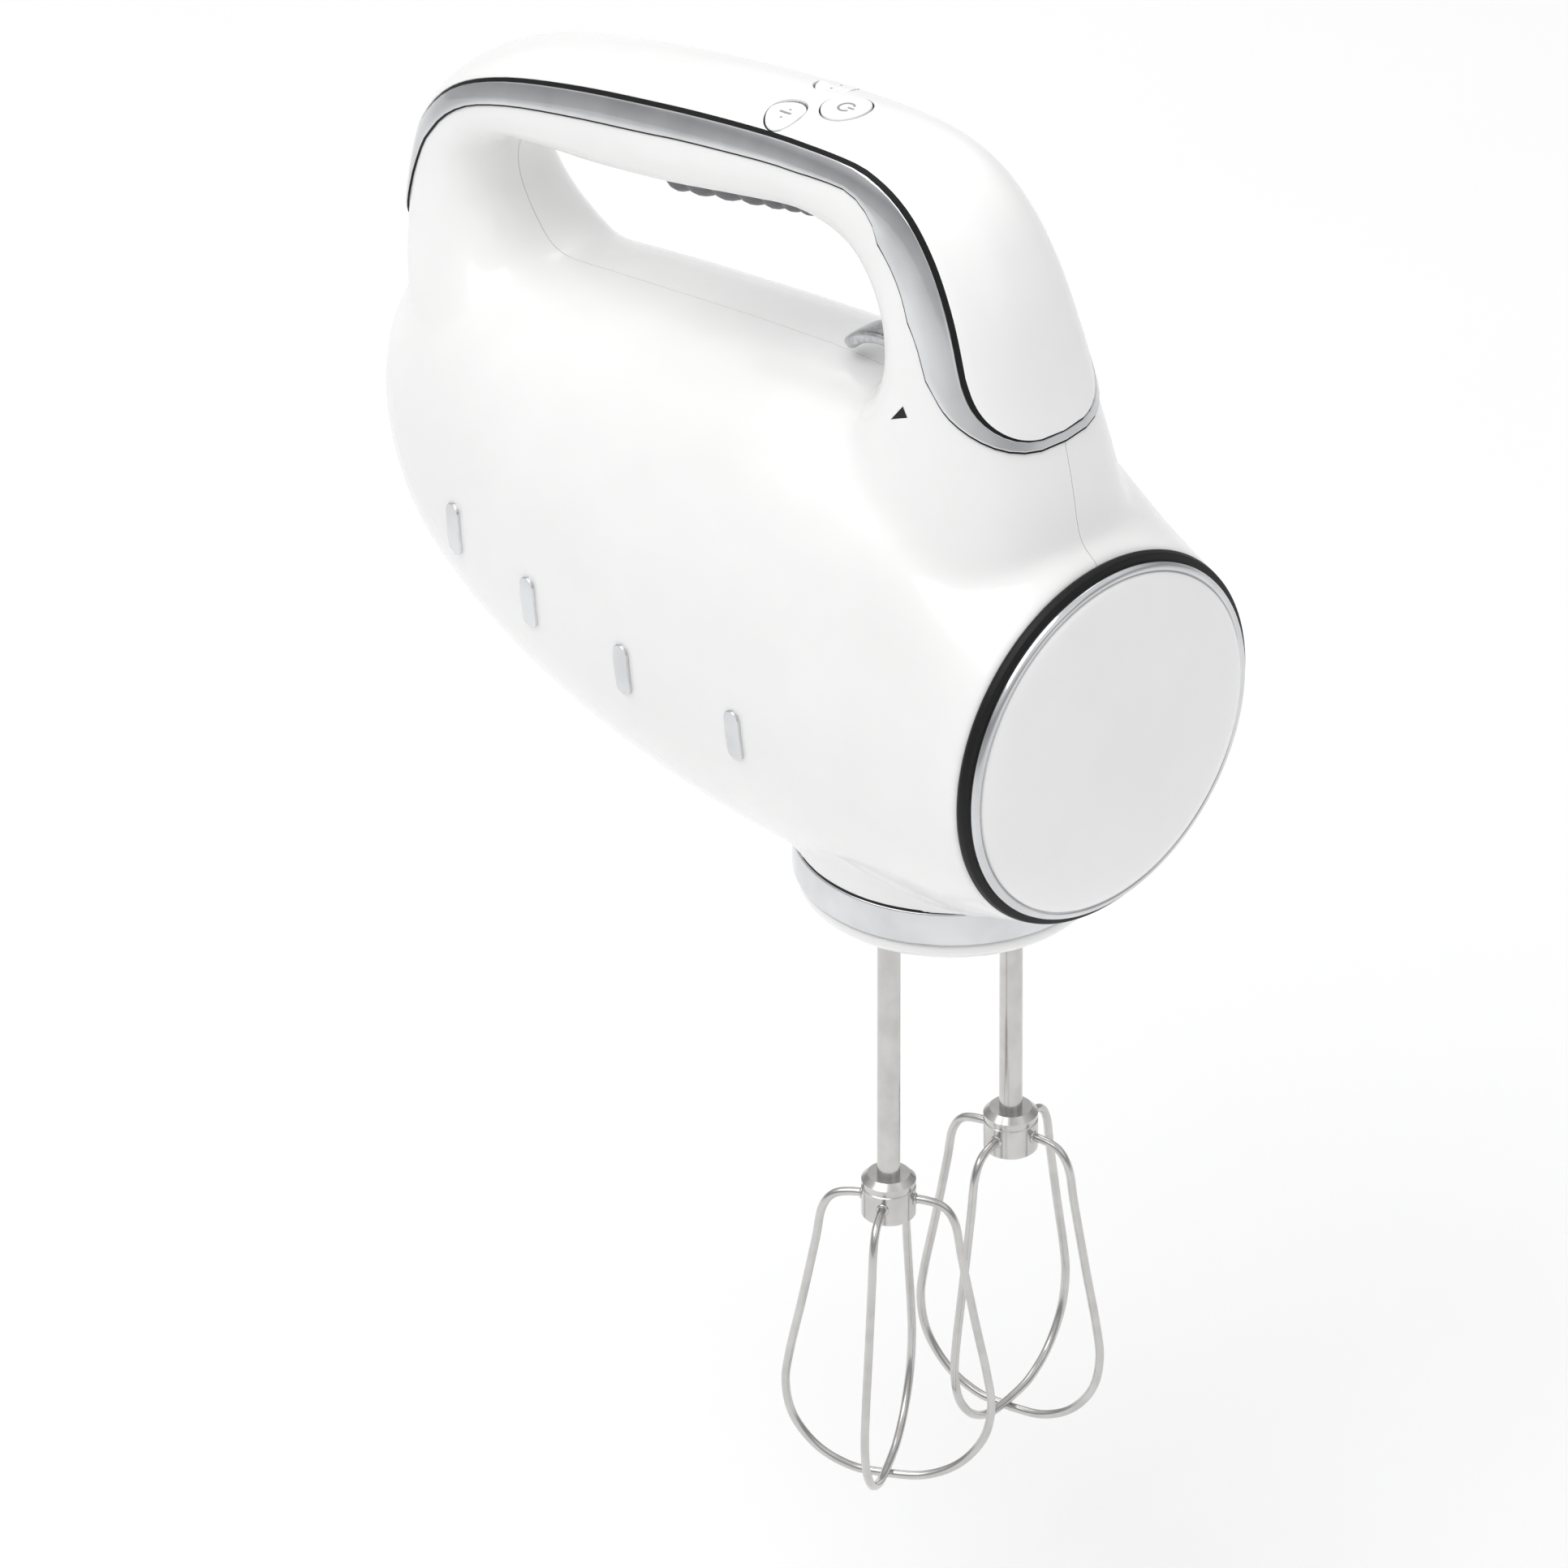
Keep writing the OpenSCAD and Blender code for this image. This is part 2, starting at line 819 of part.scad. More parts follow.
module commutator() {
    color("goldenrod")
        difference() {
            disc_x(comm_x, comm_r, comm_l, motor_shaft_r);
            translate([comm_x - 1, 0, axis_z])
                for (i = [0:slots - 1])
                    rotate([i * 360 / slots, 0, 0])
                        translate([0, -0.3, comm_r - 1.2])
                            cube([comm_l + 2, 0.6, 3]);
        }
}

blades = 9;
module cooling_fan() {
    color("white")
        translate([fan_x, 0, axis_z])
            rotate([0, 90, 0])
                difference() {
                    union() {
                        cylinder(r = 8, h = fan_l);
                        cylinder(r = fan_r, h = 1.5);
                        for (i = [0:blades - 1])
                            rotate([0, 0, i * 360 / blades])
                                translate([7, -0.7, 0])
                                    cube([fan_r - 8, 1.4, fan_l]);
                    }
                    translate([0, 0, -1])
                        cylinder(r = motor_shaft_r, h = fan_l + 2);
                }
}

brush_z = 3;
brush_x = 2.6;
module for_brushes() {
    for (y = [-1, 1])
        translate([comm_x + comm_l / 2, 0, axis_z])
            mirror([0, y < 0 ? 1 : 0, 0])
                children();
}

module brush_holders() {
    color("gold")
        for_brushes()
            difference() {
                block([-brush_x - 1, comm_r + 1.5, -brush_z - 1], [brush_x + 1, comm_r + 15, brush_z + 1]);
                block([-brush_x - 0.1, comm_r, -brush_z - 0.1], [brush_x + 0.1, comm_r + 16, brush_z + 0.1]);
            }
}

module carbon_brushes() {
    color("black")
        for_brushes()
            block([-brush_x, comm_r + 0.2, -brush_z], [brush_x, comm_r + 11, brush_z]);
}

module brush_springs() {
    color("silver")
        for_brushes()
            translate([0, comm_r + 11.1, 0])
                for (i = [0:3])
                    translate([0, i, 0])
                        rotate([-90, 0, 0])
                            difference() {
                                cylinder(r = 2.3, h = 1.001);
                                translate([0, 0, -1])
                                    cylinder(r = 1.6 - 0.2 * (i % 2), h = 3);
                            }
}

module power_board() {
    color("darkgreen")
        union() {
            block([-96, -18, 101], [-50, 18, 102.6]);
            block([-92, -12, 102.5], [-78, 2, 108]);
            translate([-64, 6, 102.5])
                cylinder(r = 5, h = 7);
        }
}

// ---------------------------------------------------------------- buttons

// The crown's height and the drop across it, at x and y on top of the grip.
function crown_z(x) = HANDLE[9][1] + (HANDLE[10][1] - HANDLE[9][1]) * (x - HANDLE[9][0]) / (HANDLE[10][0] - HANDLE[9][0]);
function crown_drop(y) = handle_half(HANDLE[10]) * (1 - pow(1 - pow(abs(y) / HANDLE[10][4], handle_n), 1 / handle_n));

module for_button(x, y) {
    translate([x, y, crown_z(x) - crown_drop(y)])
        rotate([0, -button_tilt, 0])
            children();
}

module button(x, y, r) {
    foot = button_foot - crown_drop(y);
    for_button(x, y)
        union() {
            translate([0, 0, -foot + 0.6])
                cylinder(r = r, h = foot - 0.6 + cap_proud);
            translate([0, 0, -foot])
                cylinder(r = 1.8, h = 1);
        }
}

module power_button() { color("white") button(power_x, 0, power_r); }
module plus_button() { color("white") button(step_x, -step_y, step_r); }
module minus_button() { color("white") button(step_x, step_y, step_r); }

module on_board() {
    translate([power_x, 0, crown_z(power_x)])
        rotate([0, -button_tilt, 0])
            children();
}

module control_board() {
    color("darkgreen")
        on_board()
            block([-24, -12, -board_depth - board_t], [10, 12, -board_depth]);
}

module tact_switches() {
    color("black")
        on_board()
            for (p = [[0, 0], [step_x - power_x, -step_y], [step_x - power_x, step_y]])
                translate([p[0], p[1], -board_depth])
                    union() {
                        translate([-3, -3, 0])
                            cube([6, 6, tact_h - 1]);
                        cylinder(r = 1.6, h = tact_h);
                    }
}

// ---------------------------------------------------------------- ejector

module lever_pin() {
    color("silver")
        translate([pivot_x, 0, pivot_z])
            rotate([90, 0, 0])
                cylinder(r = lever_pin_r, h = 30, center = true);
}

module eject_lever() {
    color("silver")
        difference() {
            translate([pivot_x, lever_half, pivot_z])
                rotate([90, 0, 0])
                    linear_extrude(height = 2 * lever_half)
                        union() {
                            circle(r = 4);
                            // Arm to the fork, with a round nose.
                            translate([0, -1.5])
                                square([lever_arm, 3]);
                            translate([lever_arm, 0])
                                circle(r = nose_r);
                            // Finger tab: an arc that sweeps back and up out of the column.
                            intersection() {
                                translate([-13, -17])
                                    difference() {
                                        circle(r = 20.5);
                                        circle(r = 17.3);
                                    }
                                polygon([[0, 12], [0, -5], [-13, -17], [-32, -5], [-32, 12]]);
                            }
                        }
            translate([pivot_x, 0, pivot_z])
                rotate([90, 0, 0])
                    cylinder(r = lever_pin_r + run_gap, h = 30, center = true);
        }
}

module ejector_fork() {
    color("gray")
        union() {
            block([-5, -beater_gap / 2 - 6, fork_low], [5, beater_gap / 2 + 6, fork_low + fork_t]);
            block([pivot_x + lever_arm - stem_half_x, -4, fork_low],
                [pivot_x + lever_arm + stem_half_x, 4, stem_top]);
            block([-5, -4, fork_low], [pivot_x + lever_arm + stem_half_x, 4, fork_low + fork_t + 4]);
        }
}

spring_turns = 5;
spring_r = 4;
spring_wire = 0.6;
module eject_spring() {
    low = box_high + lid_t + spring_wire + 0.1;
    high = fork_low - spring_wire - 0.1;
    steps = 12;
    n = spring_turns * steps;
    sides = 6;
    points = [for (i = [0:n])
        let (a = 360 * i / steps, z = low + (high - low) * i / n)
        for (k = [0:sides - 1])
            let (b = 360 * k / sides, out = spring_r + spring_wire * cos(b))
            [out * cos(a), out * sin(a), z + spring_wire * sin(b)]];
    color("silver")
        polyhedron(points = points, faces = concat(
            [[for (k = [0:sides - 1]) k]],
            [for (i = [0:n - 1]) for (k = [0:sides - 1])
                let (a = i * sides + k, b = i * sides + (k + 1) % sides) [a, b + sides, b]],
            [for (i = [0:n - 1]) for (k = [0:sides - 1])
                let (a = i * sides + k, b = i * sides + (k + 1) % sides) [a, a + sides, b + sides]],
            [[for (k = [sides - 1:-1:0]) n * sides + k]]));
}

module eject_pin(side) {
    color("silver")
        translate([0, side * beater_gap / 2, 0])
            union() {
                translate([0, 0, shaft_top + 0.3])
                    cylinder(r = pin_r, h = pin_top - shaft_top);
                translate([0, 0, pin_top])
                    cylinder(r = spindle_r, h = pin_head_h);
            }
}

module left_eject_pin() { eject_pin(1); }
module right_eject_pin() { eject_pin(-1); }

// ---------------------------------------------------------------- spindles and worm

module spindle(side) {
    color("silver")
        translate([0, side * beater_gap / 2, 0])
            difference() {
                tube(spindle_low, spindle_top, spindle_r, beater_shaft_r + run_gap);
                // Slot that drives the beater's ears.
                rotate([0, 0, turn(side)])
                    block([-ear_r - 0.2, -ear_t / 2 - 0.1, spindle_low - 1],
                        [ear_r + 0.2, ear_t / 2 + 0.1, ear_low + ear_h + 0.3]);
            }
}

module left_spindle() { spindle(1); }
module right_spindle() { spindle(-1); }

// One gear tooth gap faces the worm on each side.
module gear_outline() {
    step = 360 / gear_teeth;
    root = gear_pitch_r - 1.25 * module_mm;
    tip = gear_pitch_r + module_mm;
    rotate(step / 2)
        polygon([for (i = [0:gear_teeth - 1])
            for (p = [[root, -0.27], [tip, -0.09], [tip, 0.09], [root, 0.27]])
                p[0] * [cos((i + p[1]) * step), sin((i + p[1]) * step)]]);
}

module spindle_gear(side) {
    color("ivory")
        translate([0, side * beater_gap / 2, 0])
            difference() {
                union() {
                    translate([0, 0, axis_z])
                        linear_extrude(height = gear_face, center = true, twist = -gear_twist, slices = 3)
                            gear_outline();
                    translate([0, 0, axis_z - gear_face / 2 - 5])
                        cylinder(r = spindle_r + 2.5, h = 5.5);
                }
                translate([0, 0, axis_z - 20])
                    cylinder(r = spindle_r, h = 40);
            }
}

module left_gear() { spindle_gear(1); }
module right_gear() { spindle_gear(-1); }

module worm() {
    slices = 66;
    outline = [for (k = [0:1])
        for (p = [[worm_tip_r, -13], [worm_tip_r, 13], [worm_root_r, 46], [worm_root_r, 75], [worm_root_r, 105],
            [worm_root_r, 134]])
            let (a = p[1] + 180 * k) p[0] * [cos(a), sin(a)]];
    color("gray")
        difference() {
            translate([0, 0, axis_z])
                rotate([0, 90, 0])
                    rotate([0, 0, 90 - 180 * worm_l / worm_lead])
                        linear_extrude(height = worm_l, center = true, twist = -360 * worm_l / worm_lead,
                            slices = slices, segments = 12)
                            polygon(outline);
            translate([-worm_l, 0, axis_z])
                rotate([0, 90, 0])
                    cylinder(r = motor_shaft_r, h = 2 * worm_l);
        }
}

// ---------------------------------------------------------------- beaters

// The two cages stand an eighth of a turn apart, so that their wires pass between each other.
function turn(side) = side < 0 ? right_turn : 45 - right_turn;

// Half a wire loop in [out, up] shares of the cage's radius and height.
LOOP = [[0.14, 0], [0.36, 0], [0.54, -0.018], [0.65, -0.075], [0.71, -0.19], [0.84, -0.41],
    [0.96, -0.6], [1, -0.72], [0.92, -0.835], [0.68, -0.935], [0.35, -0.99], [0, -1]];
loop_steps = 2;

module wire_loop(lift) {
    last = (len(LOOP) - 1) * loop_steps;
    half = [for (i = [0:last]) let (p = along(LOOP, i / loop_steps))
        [p[0] * cage_r, -cage_top + p[1] * cage_h + lift * p[1] * p[1]]];
    other = [for (i = [last - 1:-1:0]) [-half[i][0], half[i][1]]];
    wire_sweep(concat(half, other), wire_r, 8);
}

module beater_wire(side, cross) {
    color("silver")
        translate([0, side * beater_gap / 2, 0])
            rotate([0, 0, turn(side) + 90 * cross])
                wire_loop(cross * (2 * wire_r + 0.3));
}

module beater_shaft(side) {
    color("silver")
        translate([0, side * beater_gap / 2, 0])
            union() {
                translate([0, 0, -cage_top - 3.5])
                    cylinder(r = beater_shaft_r, h = cage_top + 3.5 + shaft_top);
                rotate([0, 0, turn(side)])
                    block([-ear_r, -ear_t / 2, ear_low], [ear_r, ear_t / 2, ear_low + ear_h]);
            }
}

module beater_hub(side) {
    color("silver")
        translate([0, side * beater_gap / 2, -cage_top - hub_h / 2 + 1])
            difference() {
                cylinder(r = hub_r, h = hub_h);
                translate([0, 0, -1])
                    cylinder(r = beater_shaft_r, h = hub_h + 2);
                for (k = [0:3])
                    rotate([0, 0, turn(side) + 90 * k])
                        translate([beater_shaft_r + 0.4, 0, hub_h / 2 - 1])
                            rotate([0, 90, 0])
                                cylinder(r = wire_r + 0.06, h = hub_r);
            }
}

module left_beater_shaft() { beater_shaft(1); }
module left_beater_hub() { beater_hub(1); }
module left_wire_outer() { beater_wire(1, 0); }
module left_wire_inner() { beater_wire(1, 1); }
module right_beater_shaft() { beater_shaft(-1); }
module right_beater_hub() { beater_hub(-1); }
module right_wire_outer() { beater_wire(-1, 0); }
module right_wire_inner() { beater_wire(-1, 1); }

module placed() {
    translate([-grip_x, 0, -grip_z])
        children();
}

placed() left_housing();
placed() right_housing();
placed() handle_cover();
placed() handle_trim();
placed() grip_pad();
placed() side_marks();
placed() front_gasket();
placed() front_ring();
placed() front_cap();
placed() base_collar();
placed() base_cap();
placed() cord_gland();
placed() housing_screws();
placed() base_screws();
placed() gearbox_case();
placed() gearbox_lid();
placed() gearbox_screws();
placed() gearbox_bushes();
placed() base_bushes();
placed() front_bearing();
placed() rear_bearing();
placed() rear_bracket();
placed() stator_core();
placed() field_coils();
placed() brush_holders();
placed() carbon_brushes();
placed() brush_springs();
placed() power_board();
placed() control_board();
placed() tact_switches();
placed() lever_pin();
placed() eject_spring();
placed() motor_shaft();
placed() worm();
placed() rotor_core();
placed() rotor_windings();
placed() commutator();
placed() cooling_fan();
placed() left_spindle();
placed() left_gear();
placed() right_spindle();
placed() right_gear();
placed() left_eject_pin();
placed() right_eject_pin();
placed() ejector_fork();
placed() eject_lever();
placed() power_button();
placed() plus_button();
placed() minus_button();
placed() left_beater_shaft();
placed() left_beater_hub();
placed() left_wire_outer();
placed() left_wire_inner();
placed() right_beater_shaft();
placed() right_beater_hub();
placed() right_wire_outer();
placed() right_wire_inner();
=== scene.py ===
import json
from math import atan2, cos, floor, pi, radians, sin, sqrt

import bmesh
import bpy
from mathutils import Matrix, Vector


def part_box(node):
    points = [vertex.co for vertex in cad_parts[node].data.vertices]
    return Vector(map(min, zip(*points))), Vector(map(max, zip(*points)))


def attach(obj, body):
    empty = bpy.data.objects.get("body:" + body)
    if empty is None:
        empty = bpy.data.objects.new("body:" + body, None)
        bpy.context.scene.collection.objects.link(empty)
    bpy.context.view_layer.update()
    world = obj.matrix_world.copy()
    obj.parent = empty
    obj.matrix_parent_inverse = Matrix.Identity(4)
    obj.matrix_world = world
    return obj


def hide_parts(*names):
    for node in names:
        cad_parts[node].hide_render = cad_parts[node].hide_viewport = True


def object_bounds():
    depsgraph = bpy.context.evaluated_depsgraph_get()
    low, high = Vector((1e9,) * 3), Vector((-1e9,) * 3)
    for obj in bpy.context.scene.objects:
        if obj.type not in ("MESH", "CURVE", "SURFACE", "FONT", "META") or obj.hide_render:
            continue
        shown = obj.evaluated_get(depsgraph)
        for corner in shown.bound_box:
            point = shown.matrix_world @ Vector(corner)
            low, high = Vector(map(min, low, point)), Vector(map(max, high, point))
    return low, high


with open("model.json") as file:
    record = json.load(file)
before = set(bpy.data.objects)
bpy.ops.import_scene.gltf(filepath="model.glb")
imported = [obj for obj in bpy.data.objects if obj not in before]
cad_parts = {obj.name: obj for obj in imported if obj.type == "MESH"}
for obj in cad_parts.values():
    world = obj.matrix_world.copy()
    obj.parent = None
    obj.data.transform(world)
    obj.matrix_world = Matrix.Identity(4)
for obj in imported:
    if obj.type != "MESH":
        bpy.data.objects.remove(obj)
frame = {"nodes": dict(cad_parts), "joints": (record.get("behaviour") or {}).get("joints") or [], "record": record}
cad_low, cad_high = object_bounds()

bl_info = {
    "name": "Hand mixer looks",
    "version": (1, 0, 0),
    "blender": (4, 5, 0),
    "location": "View3D > Sidebar > Mixer",
    "description": "Builds a hand mixer's visible shells, trims, controls and beaters round its packed frame",
    "category": "Object",
}

MM = 0.001


# ------------------------------------------------------------------ places taken from the frame

def middle(node):
    """Centre of a frame node's box."""
    low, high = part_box(node)
    return (low + high) / 2


def round_radius(node):
    """Radius of a frame node that is round about Z."""
    low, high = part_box(node)
    return (high.y - low.y) / 2


BASE = Vector((middle("base_collar").x, 0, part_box("base_cap")[0].z))
UP = (0, 0, 1)


def at(x, y, z):
    """A design place in millimetres from the middle of the base's underside, as a place in the frame."""
    return BASE + Vector((x, y, z)) * MM


FRONT_X = (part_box("front_gasket")[0].x - BASE.x) / MM
AXIS_Z = (middle("front_gasket").z - BASE.z) / MM
FRONT_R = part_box("front_gasket")[1].y / MM + 0.2

# Barrel stations: place along X, underside, top, half width, roundness exponent.
BARREL = [
    (-164, 66, 96, 15, 2.2),
    (-161, 53, 105, 23, 2.2),
    (-153, 42, 109, 30, 2.2),
    (-140, 31, 112, 36, 2.3),
    (-118, 20, 116, 41, 2.35),
    (-90, 11, 121, 44.5, 2.35),
    (-55, 5, 127, 46.5, 2.35),
    (-20, 4, 131, 47.3, 2.35),
    (10, 6, 127, 47.5, 2.3),
    (32, 10.5, 114.5, 47.3, 2.15),
    (FRONT_X, AXIS_Z - FRONT_R, AXIS_Z + FRONT_R, FRONT_R, 2),
]

# Handle stations: crown x and z, inner x and z, half width.
HANDLE = [
    (-150, 80, -112, 94, 30),
    (-162, 100, -122, 108, 27),
    (-165.5, 116, -132, 118.5, 22),
    (-165, 132, -140, 131, 18.5),
    (-161, 146, -139, 141, 17.5),
    (-152, 158, -130, 147.5, 17),
    (-136, 168, -118, 149.5, 17),
    (-112, 177, -102, 151.5, 17),
    (-84, 185, -80, 156.5, 17.5),
    (-56, 191.3, -54, 164, 17.5),
    (-34, 195, -36, 168.5, 17.5),
    (-14, 197, -22, 166.5, 18),
    (2, 195, -16, 160, 18.5),
    (14, 187, -12.5, 153, 19.5),
    (23, 174, -11, 146, 21),
    (30, 158, -11.5, 139, 22.5),
    (36, 141, -16, 131, 24.5),
    (40.5, 122, -24, 120, 29),
    (43, 100, -28, 104, 35),
]
# Roundness exponent of the handle's section, and the narrowest half width that its trim is laid on.
HANDLE_N = 2.4
GRIP_HALF = 17.5

# The cover in handle stations: its ends, the length of its rounded tips, and where it widens to the tongue.
COVER_REAR, COVER_FRONT, COVER_ROUND = 1.7, 16.1, 1.05
TONGUE_START, TONGUE_RAMP = 11, 4
TONGUE_N = 3

# The view that the stage is set up for.
VIEW_TURN, VIEW_RISE = radians(45), radians(32.5)


def along(rows, s):
    """The smooth curve through rows at station s."""
    last = len(rows) - 1
    i = min(floor(s), last - 1)
    t = s - i
    a, b, c, d = (rows[max(i - 1, 0)], rows[i], rows[i + 1], rows[min(i + 2, last)])
    out = []
    for p, q, r, w in zip(a, b, c, d):
        bend, twist = 2 * p - 5 * q + 4 * r - w, 3 * q - p - 3 * r + w
        out.append(0.5 * (2 * q + (r - p) * t + bend * t * t + twist * t ** 3))
    return out


def flat_sine(value, n):
    """A sine or cosine flattened so that a circle becomes a superellipse with exponent n."""
    return (1 if value >= 0 else -1) * abs(value) ** (2 / n)


def view_axes():
    """Forward, right and up as seen from the stage's camera."""
    forward = Vector((-sin(VIEW_TURN) * cos(VIEW_RISE), cos(VIEW_TURN) * cos(VIEW_RISE), -sin(VIEW_RISE)))
    right = Vector((cos(VIEW_TURN), sin(VIEW_TURN), 0))
    return forward, right, right.cross(forward)


def handle_axes(row):
    """Middle of a handle section, its outward direction and its half thickness, in design millimetres."""
    mid = Vector(((row[0] + row[2]) / 2, 0, (row[1] + row[3]) / 2))
    out = Vector((row[0] - row[2], 0, row[1] - row[3]))
    return mid, out.normalized(), out.length / 2


def handle_skin(s, y, lift, drop=0.0):
    """Place on the handle's outer skin at station s and y across, raised by lift and moved down by drop."""
    row = along(HANDLE, s)
    mid, out, half = handle_axes(row)
    # The trim's lower edge keeps just short of the widest line.
    share = min(abs(y) / max(row[4], GRIP_HALF), 0.999)
    angle = atan2((1 - share ** HANDLE_N) ** 0.5, share ** (HANDLE_N / 2)) - drop / half * share ** 2
    p = mid + out * (half + lift) * flat_sine(sin(angle), HANDLE_N)
    across = (row[4] + lift) * flat_sine(cos(angle), HANDLE_N) * (1 if y >= 0 else -1)
    return at(p.x, across, p.z)


def cover_side(look, s):
    """Half width of the cover at station s, away from its tips, in design millimetres."""
    grow = min(max((s - TONGUE_START) / TONGUE_RAMP, 0), 1)
    return (look.cover_half + (look.tongue_half - look.cover_half) * grow) / MM


def tip_share(into, front):
    """Share of the full width at a share of the way into a tip. The front tip is squarer than an ellipse."""
    n = TONGUE_N if front else 2
    return max(1 - into ** n, 0) ** (1 / n)


def cover_outline(look, more, past):
    """Closed outline of the cover as (station, across) pairs, widened by more and lengthened by past."""
    front, rear = COVER_FRONT + past, COVER_REAR - past
    body, tip = 44, 12
    half = []
    for k in range(tip):
        a = pi / 2 * k / tip
        s = rear + COVER_ROUND * (1 - cos(a))
        half.append((s, (cover_side(look, s) + more) * sin(a)))
    for k in range(body):
        s = rear + COVER_ROUND + (front - rear - 2 * COVER_ROUND) * k / body
        half.append((s, cover_side(look, s) + more))
    for k in range(tip):
        into = sin(pi / 2 * k / tip) ** 1.4
        s = front - COVER_ROUND * (1 - into)
        half.append((s, (cover_side(look, s) + more) * tip_share(into, True)))
    front_tip = [(front, 0.0)]
    other = [(s, -y) for s, y in reversed(half[1:])]
    return half + front_tip + other


# ------------------------------------------------------------------ mesh helpers

def loop_of(bm, places):
    """A closed loop of edges through places, made from a circle."""
    made = bmesh.ops.create_circle(bm, segments=len(places), radius=MM)
    for vert, place in zip(made["verts"], places):
        vert.co = place
    return list({e for v in made["verts"] for e in v.link_edges})


def loft(bm, loops, caps=True):
    """Bridges equal loops one after the other, and closes the two ends."""
    edges = [loop_of(bm, places) for places in loops]
    for a, b in zip(edges, edges[1:]):
        bmesh.ops.bridge_loops(bm, edges=a + b)
    if caps:
        for end in (edges[0], edges[-1]):
            bmesh.ops.contextual_create(bm, geom=[e for e in end if e.is_valid])
    bmesh.ops.recalc_face_normals(bm, faces=bm.faces)


def lathe(bm, profile, origin, axis, steps=96):
    """Spins (radius, height) pairs in metres about an axis through origin."""
    axis = Vector(axis).normalized()
    aside = axis.orthogonal().normalized()
    verts = [bm.verts.new(origin + aside * r + axis * h) for r, h in profile]
    edges = [bm.edges.new(pair) for pair in zip(verts, verts[1:])]
    bmesh.ops.spin(bm, geom=verts + edges, cent=origin, axis=axis, angle=2 * pi, steps=steps, use_merge=True)
    bmesh.ops.remove_doubles(bm, verts=bm.verts, dist=1e-6)
    bmesh.ops.recalc_face_normals(bm, faces=bm.faces)


def round_corners(profile, radius, steps=4):
    """Rounds the inner corners of an open (radius, height) profile."""
    out = [profile[0]]
    for a, b, c in zip(profile, profile[1:], profile[2:]):
        a, b, c = Vector(a), Vector(b), Vector(c)
        r = min(radius, (a - b).length / 2.2, (c - b).length / 2.2)
        start, end = b + (a - b).normalized() * r, b + (c - b).normalized() * r
        for k in range(steps + 1):
            t = k / steps
            p = start * (1 - t) ** 2 + b * 2 * t * (1 - t) + end * t * t
            out.append((p.x, p.y))
    out.append(profile[-1])
    return out


def block(bm, low, high):
    """A closed box from its low corner to its high corner."""
    made = bmesh.ops.create_cube(bm, size=1)
    size, mid = high - low, (high + low) / 2
    for v in made["verts"]:
        v.co = Vector((v.co.x * size.x, v.co.y * size.y, v.co.z * size.z)) + mid


def loose_mesh(name, bm):
    """A mesh object that isn't a piece yet, such as a cutting tool."""
    mesh = bpy.data.meshes.new(name)
    bm.to_mesh(mesh)
    bm.free()
    obj = bpy.data.objects.new(name, mesh)
    bpy.context.scene.collection.objects.link(obj)
    return obj


def shade(mesh, smooth):
    """Smooth shading, with edges sharper than that angle in degrees left sharp."""
    mesh.shade_smooth()
    mesh.set_sharp_from_angle(angle=radians(smooth))


def piece(name, bm, finish, replaces=(), body="root", smooth=35):
    """Turns a bmesh into a finished piece that rides on a body, with the material of its finish."""
    obj = loose_mesh(name, bm)
    obj.data.materials.append(paint(finish))
    shade(obj.data, smooth)
    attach(obj, body)
    if replaces:
        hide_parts(*replaces)
    return obj


def cut_with(obj, tool, operation="DIFFERENCE", smooth=180):
    """Cuts a piece with a tool, and removes the tool."""
    cut = obj.modifiers.new("Cut", "BOOLEAN")
    cut.operation = operation
    cut.solver = "MANIFOLD"
    cut.object = tool
    apply_modifiers(obj, smooth)
    bpy.data.objects.remove(tool)


def apply_modifiers(obj, smooth=35):
    """Bakes a piece's modifiers into its mesh."""
    depsgraph = bpy.context.evaluated_depsgraph_get()
    mesh = bpy.data.meshes.new_from_object(obj.evaluated_get(depsgraph))
    obj.modifiers.clear()
    old = obj.data
    obj.data = mesh
    bpy.data.meshes.remove(old)
    shade(mesh, smooth)


def add_bevel(obj, width):
    """Rounds a piece's sharp edges."""
    bevel = obj.modifiers.new("Rounded edges", "BEVEL")
    bevel.width = width
    bevel.segments = 3
    bevel.limit_method = "ANGLE"
    bevel.angle_limit = radians(40)
    bevel.harden_normals = True


def add_solidify(obj, thickness):
    """Gives a sheet a wall that goes inwards."""
    wall = obj.modifiers.new("Wall", "SOLIDIFY")
    wall.thickness = thickness
    wall.offset = -1
    wall.use_even_offset = True


# ------------------------------------------------------------------ materials

def linear(text):
    """An sRGB hex colour as linear RGBA."""
    parts = [int(text[i:i + 2], 16) / 255 for i in (1, 3, 5)]
    return [c / 12.92 if c <= 0.04045 else ((c + 0.055) / 1.055) ** 2.4 for c in parts] + [1.0]


def add(tree, kind, settings=None, links=None):
    """Adds a node, sets its properties and sockets, and links named inputs."""
    node = tree.nodes.new(kind)
    for key, value in (settings or {}).items():
        if key in node.inputs.keys():
            node.inputs[key].default_value = value
        else:
            setattr(node, key, value)
    for key, source in (links or {}).items():
        tree.links.new(source, node.inputs[key])
    return node


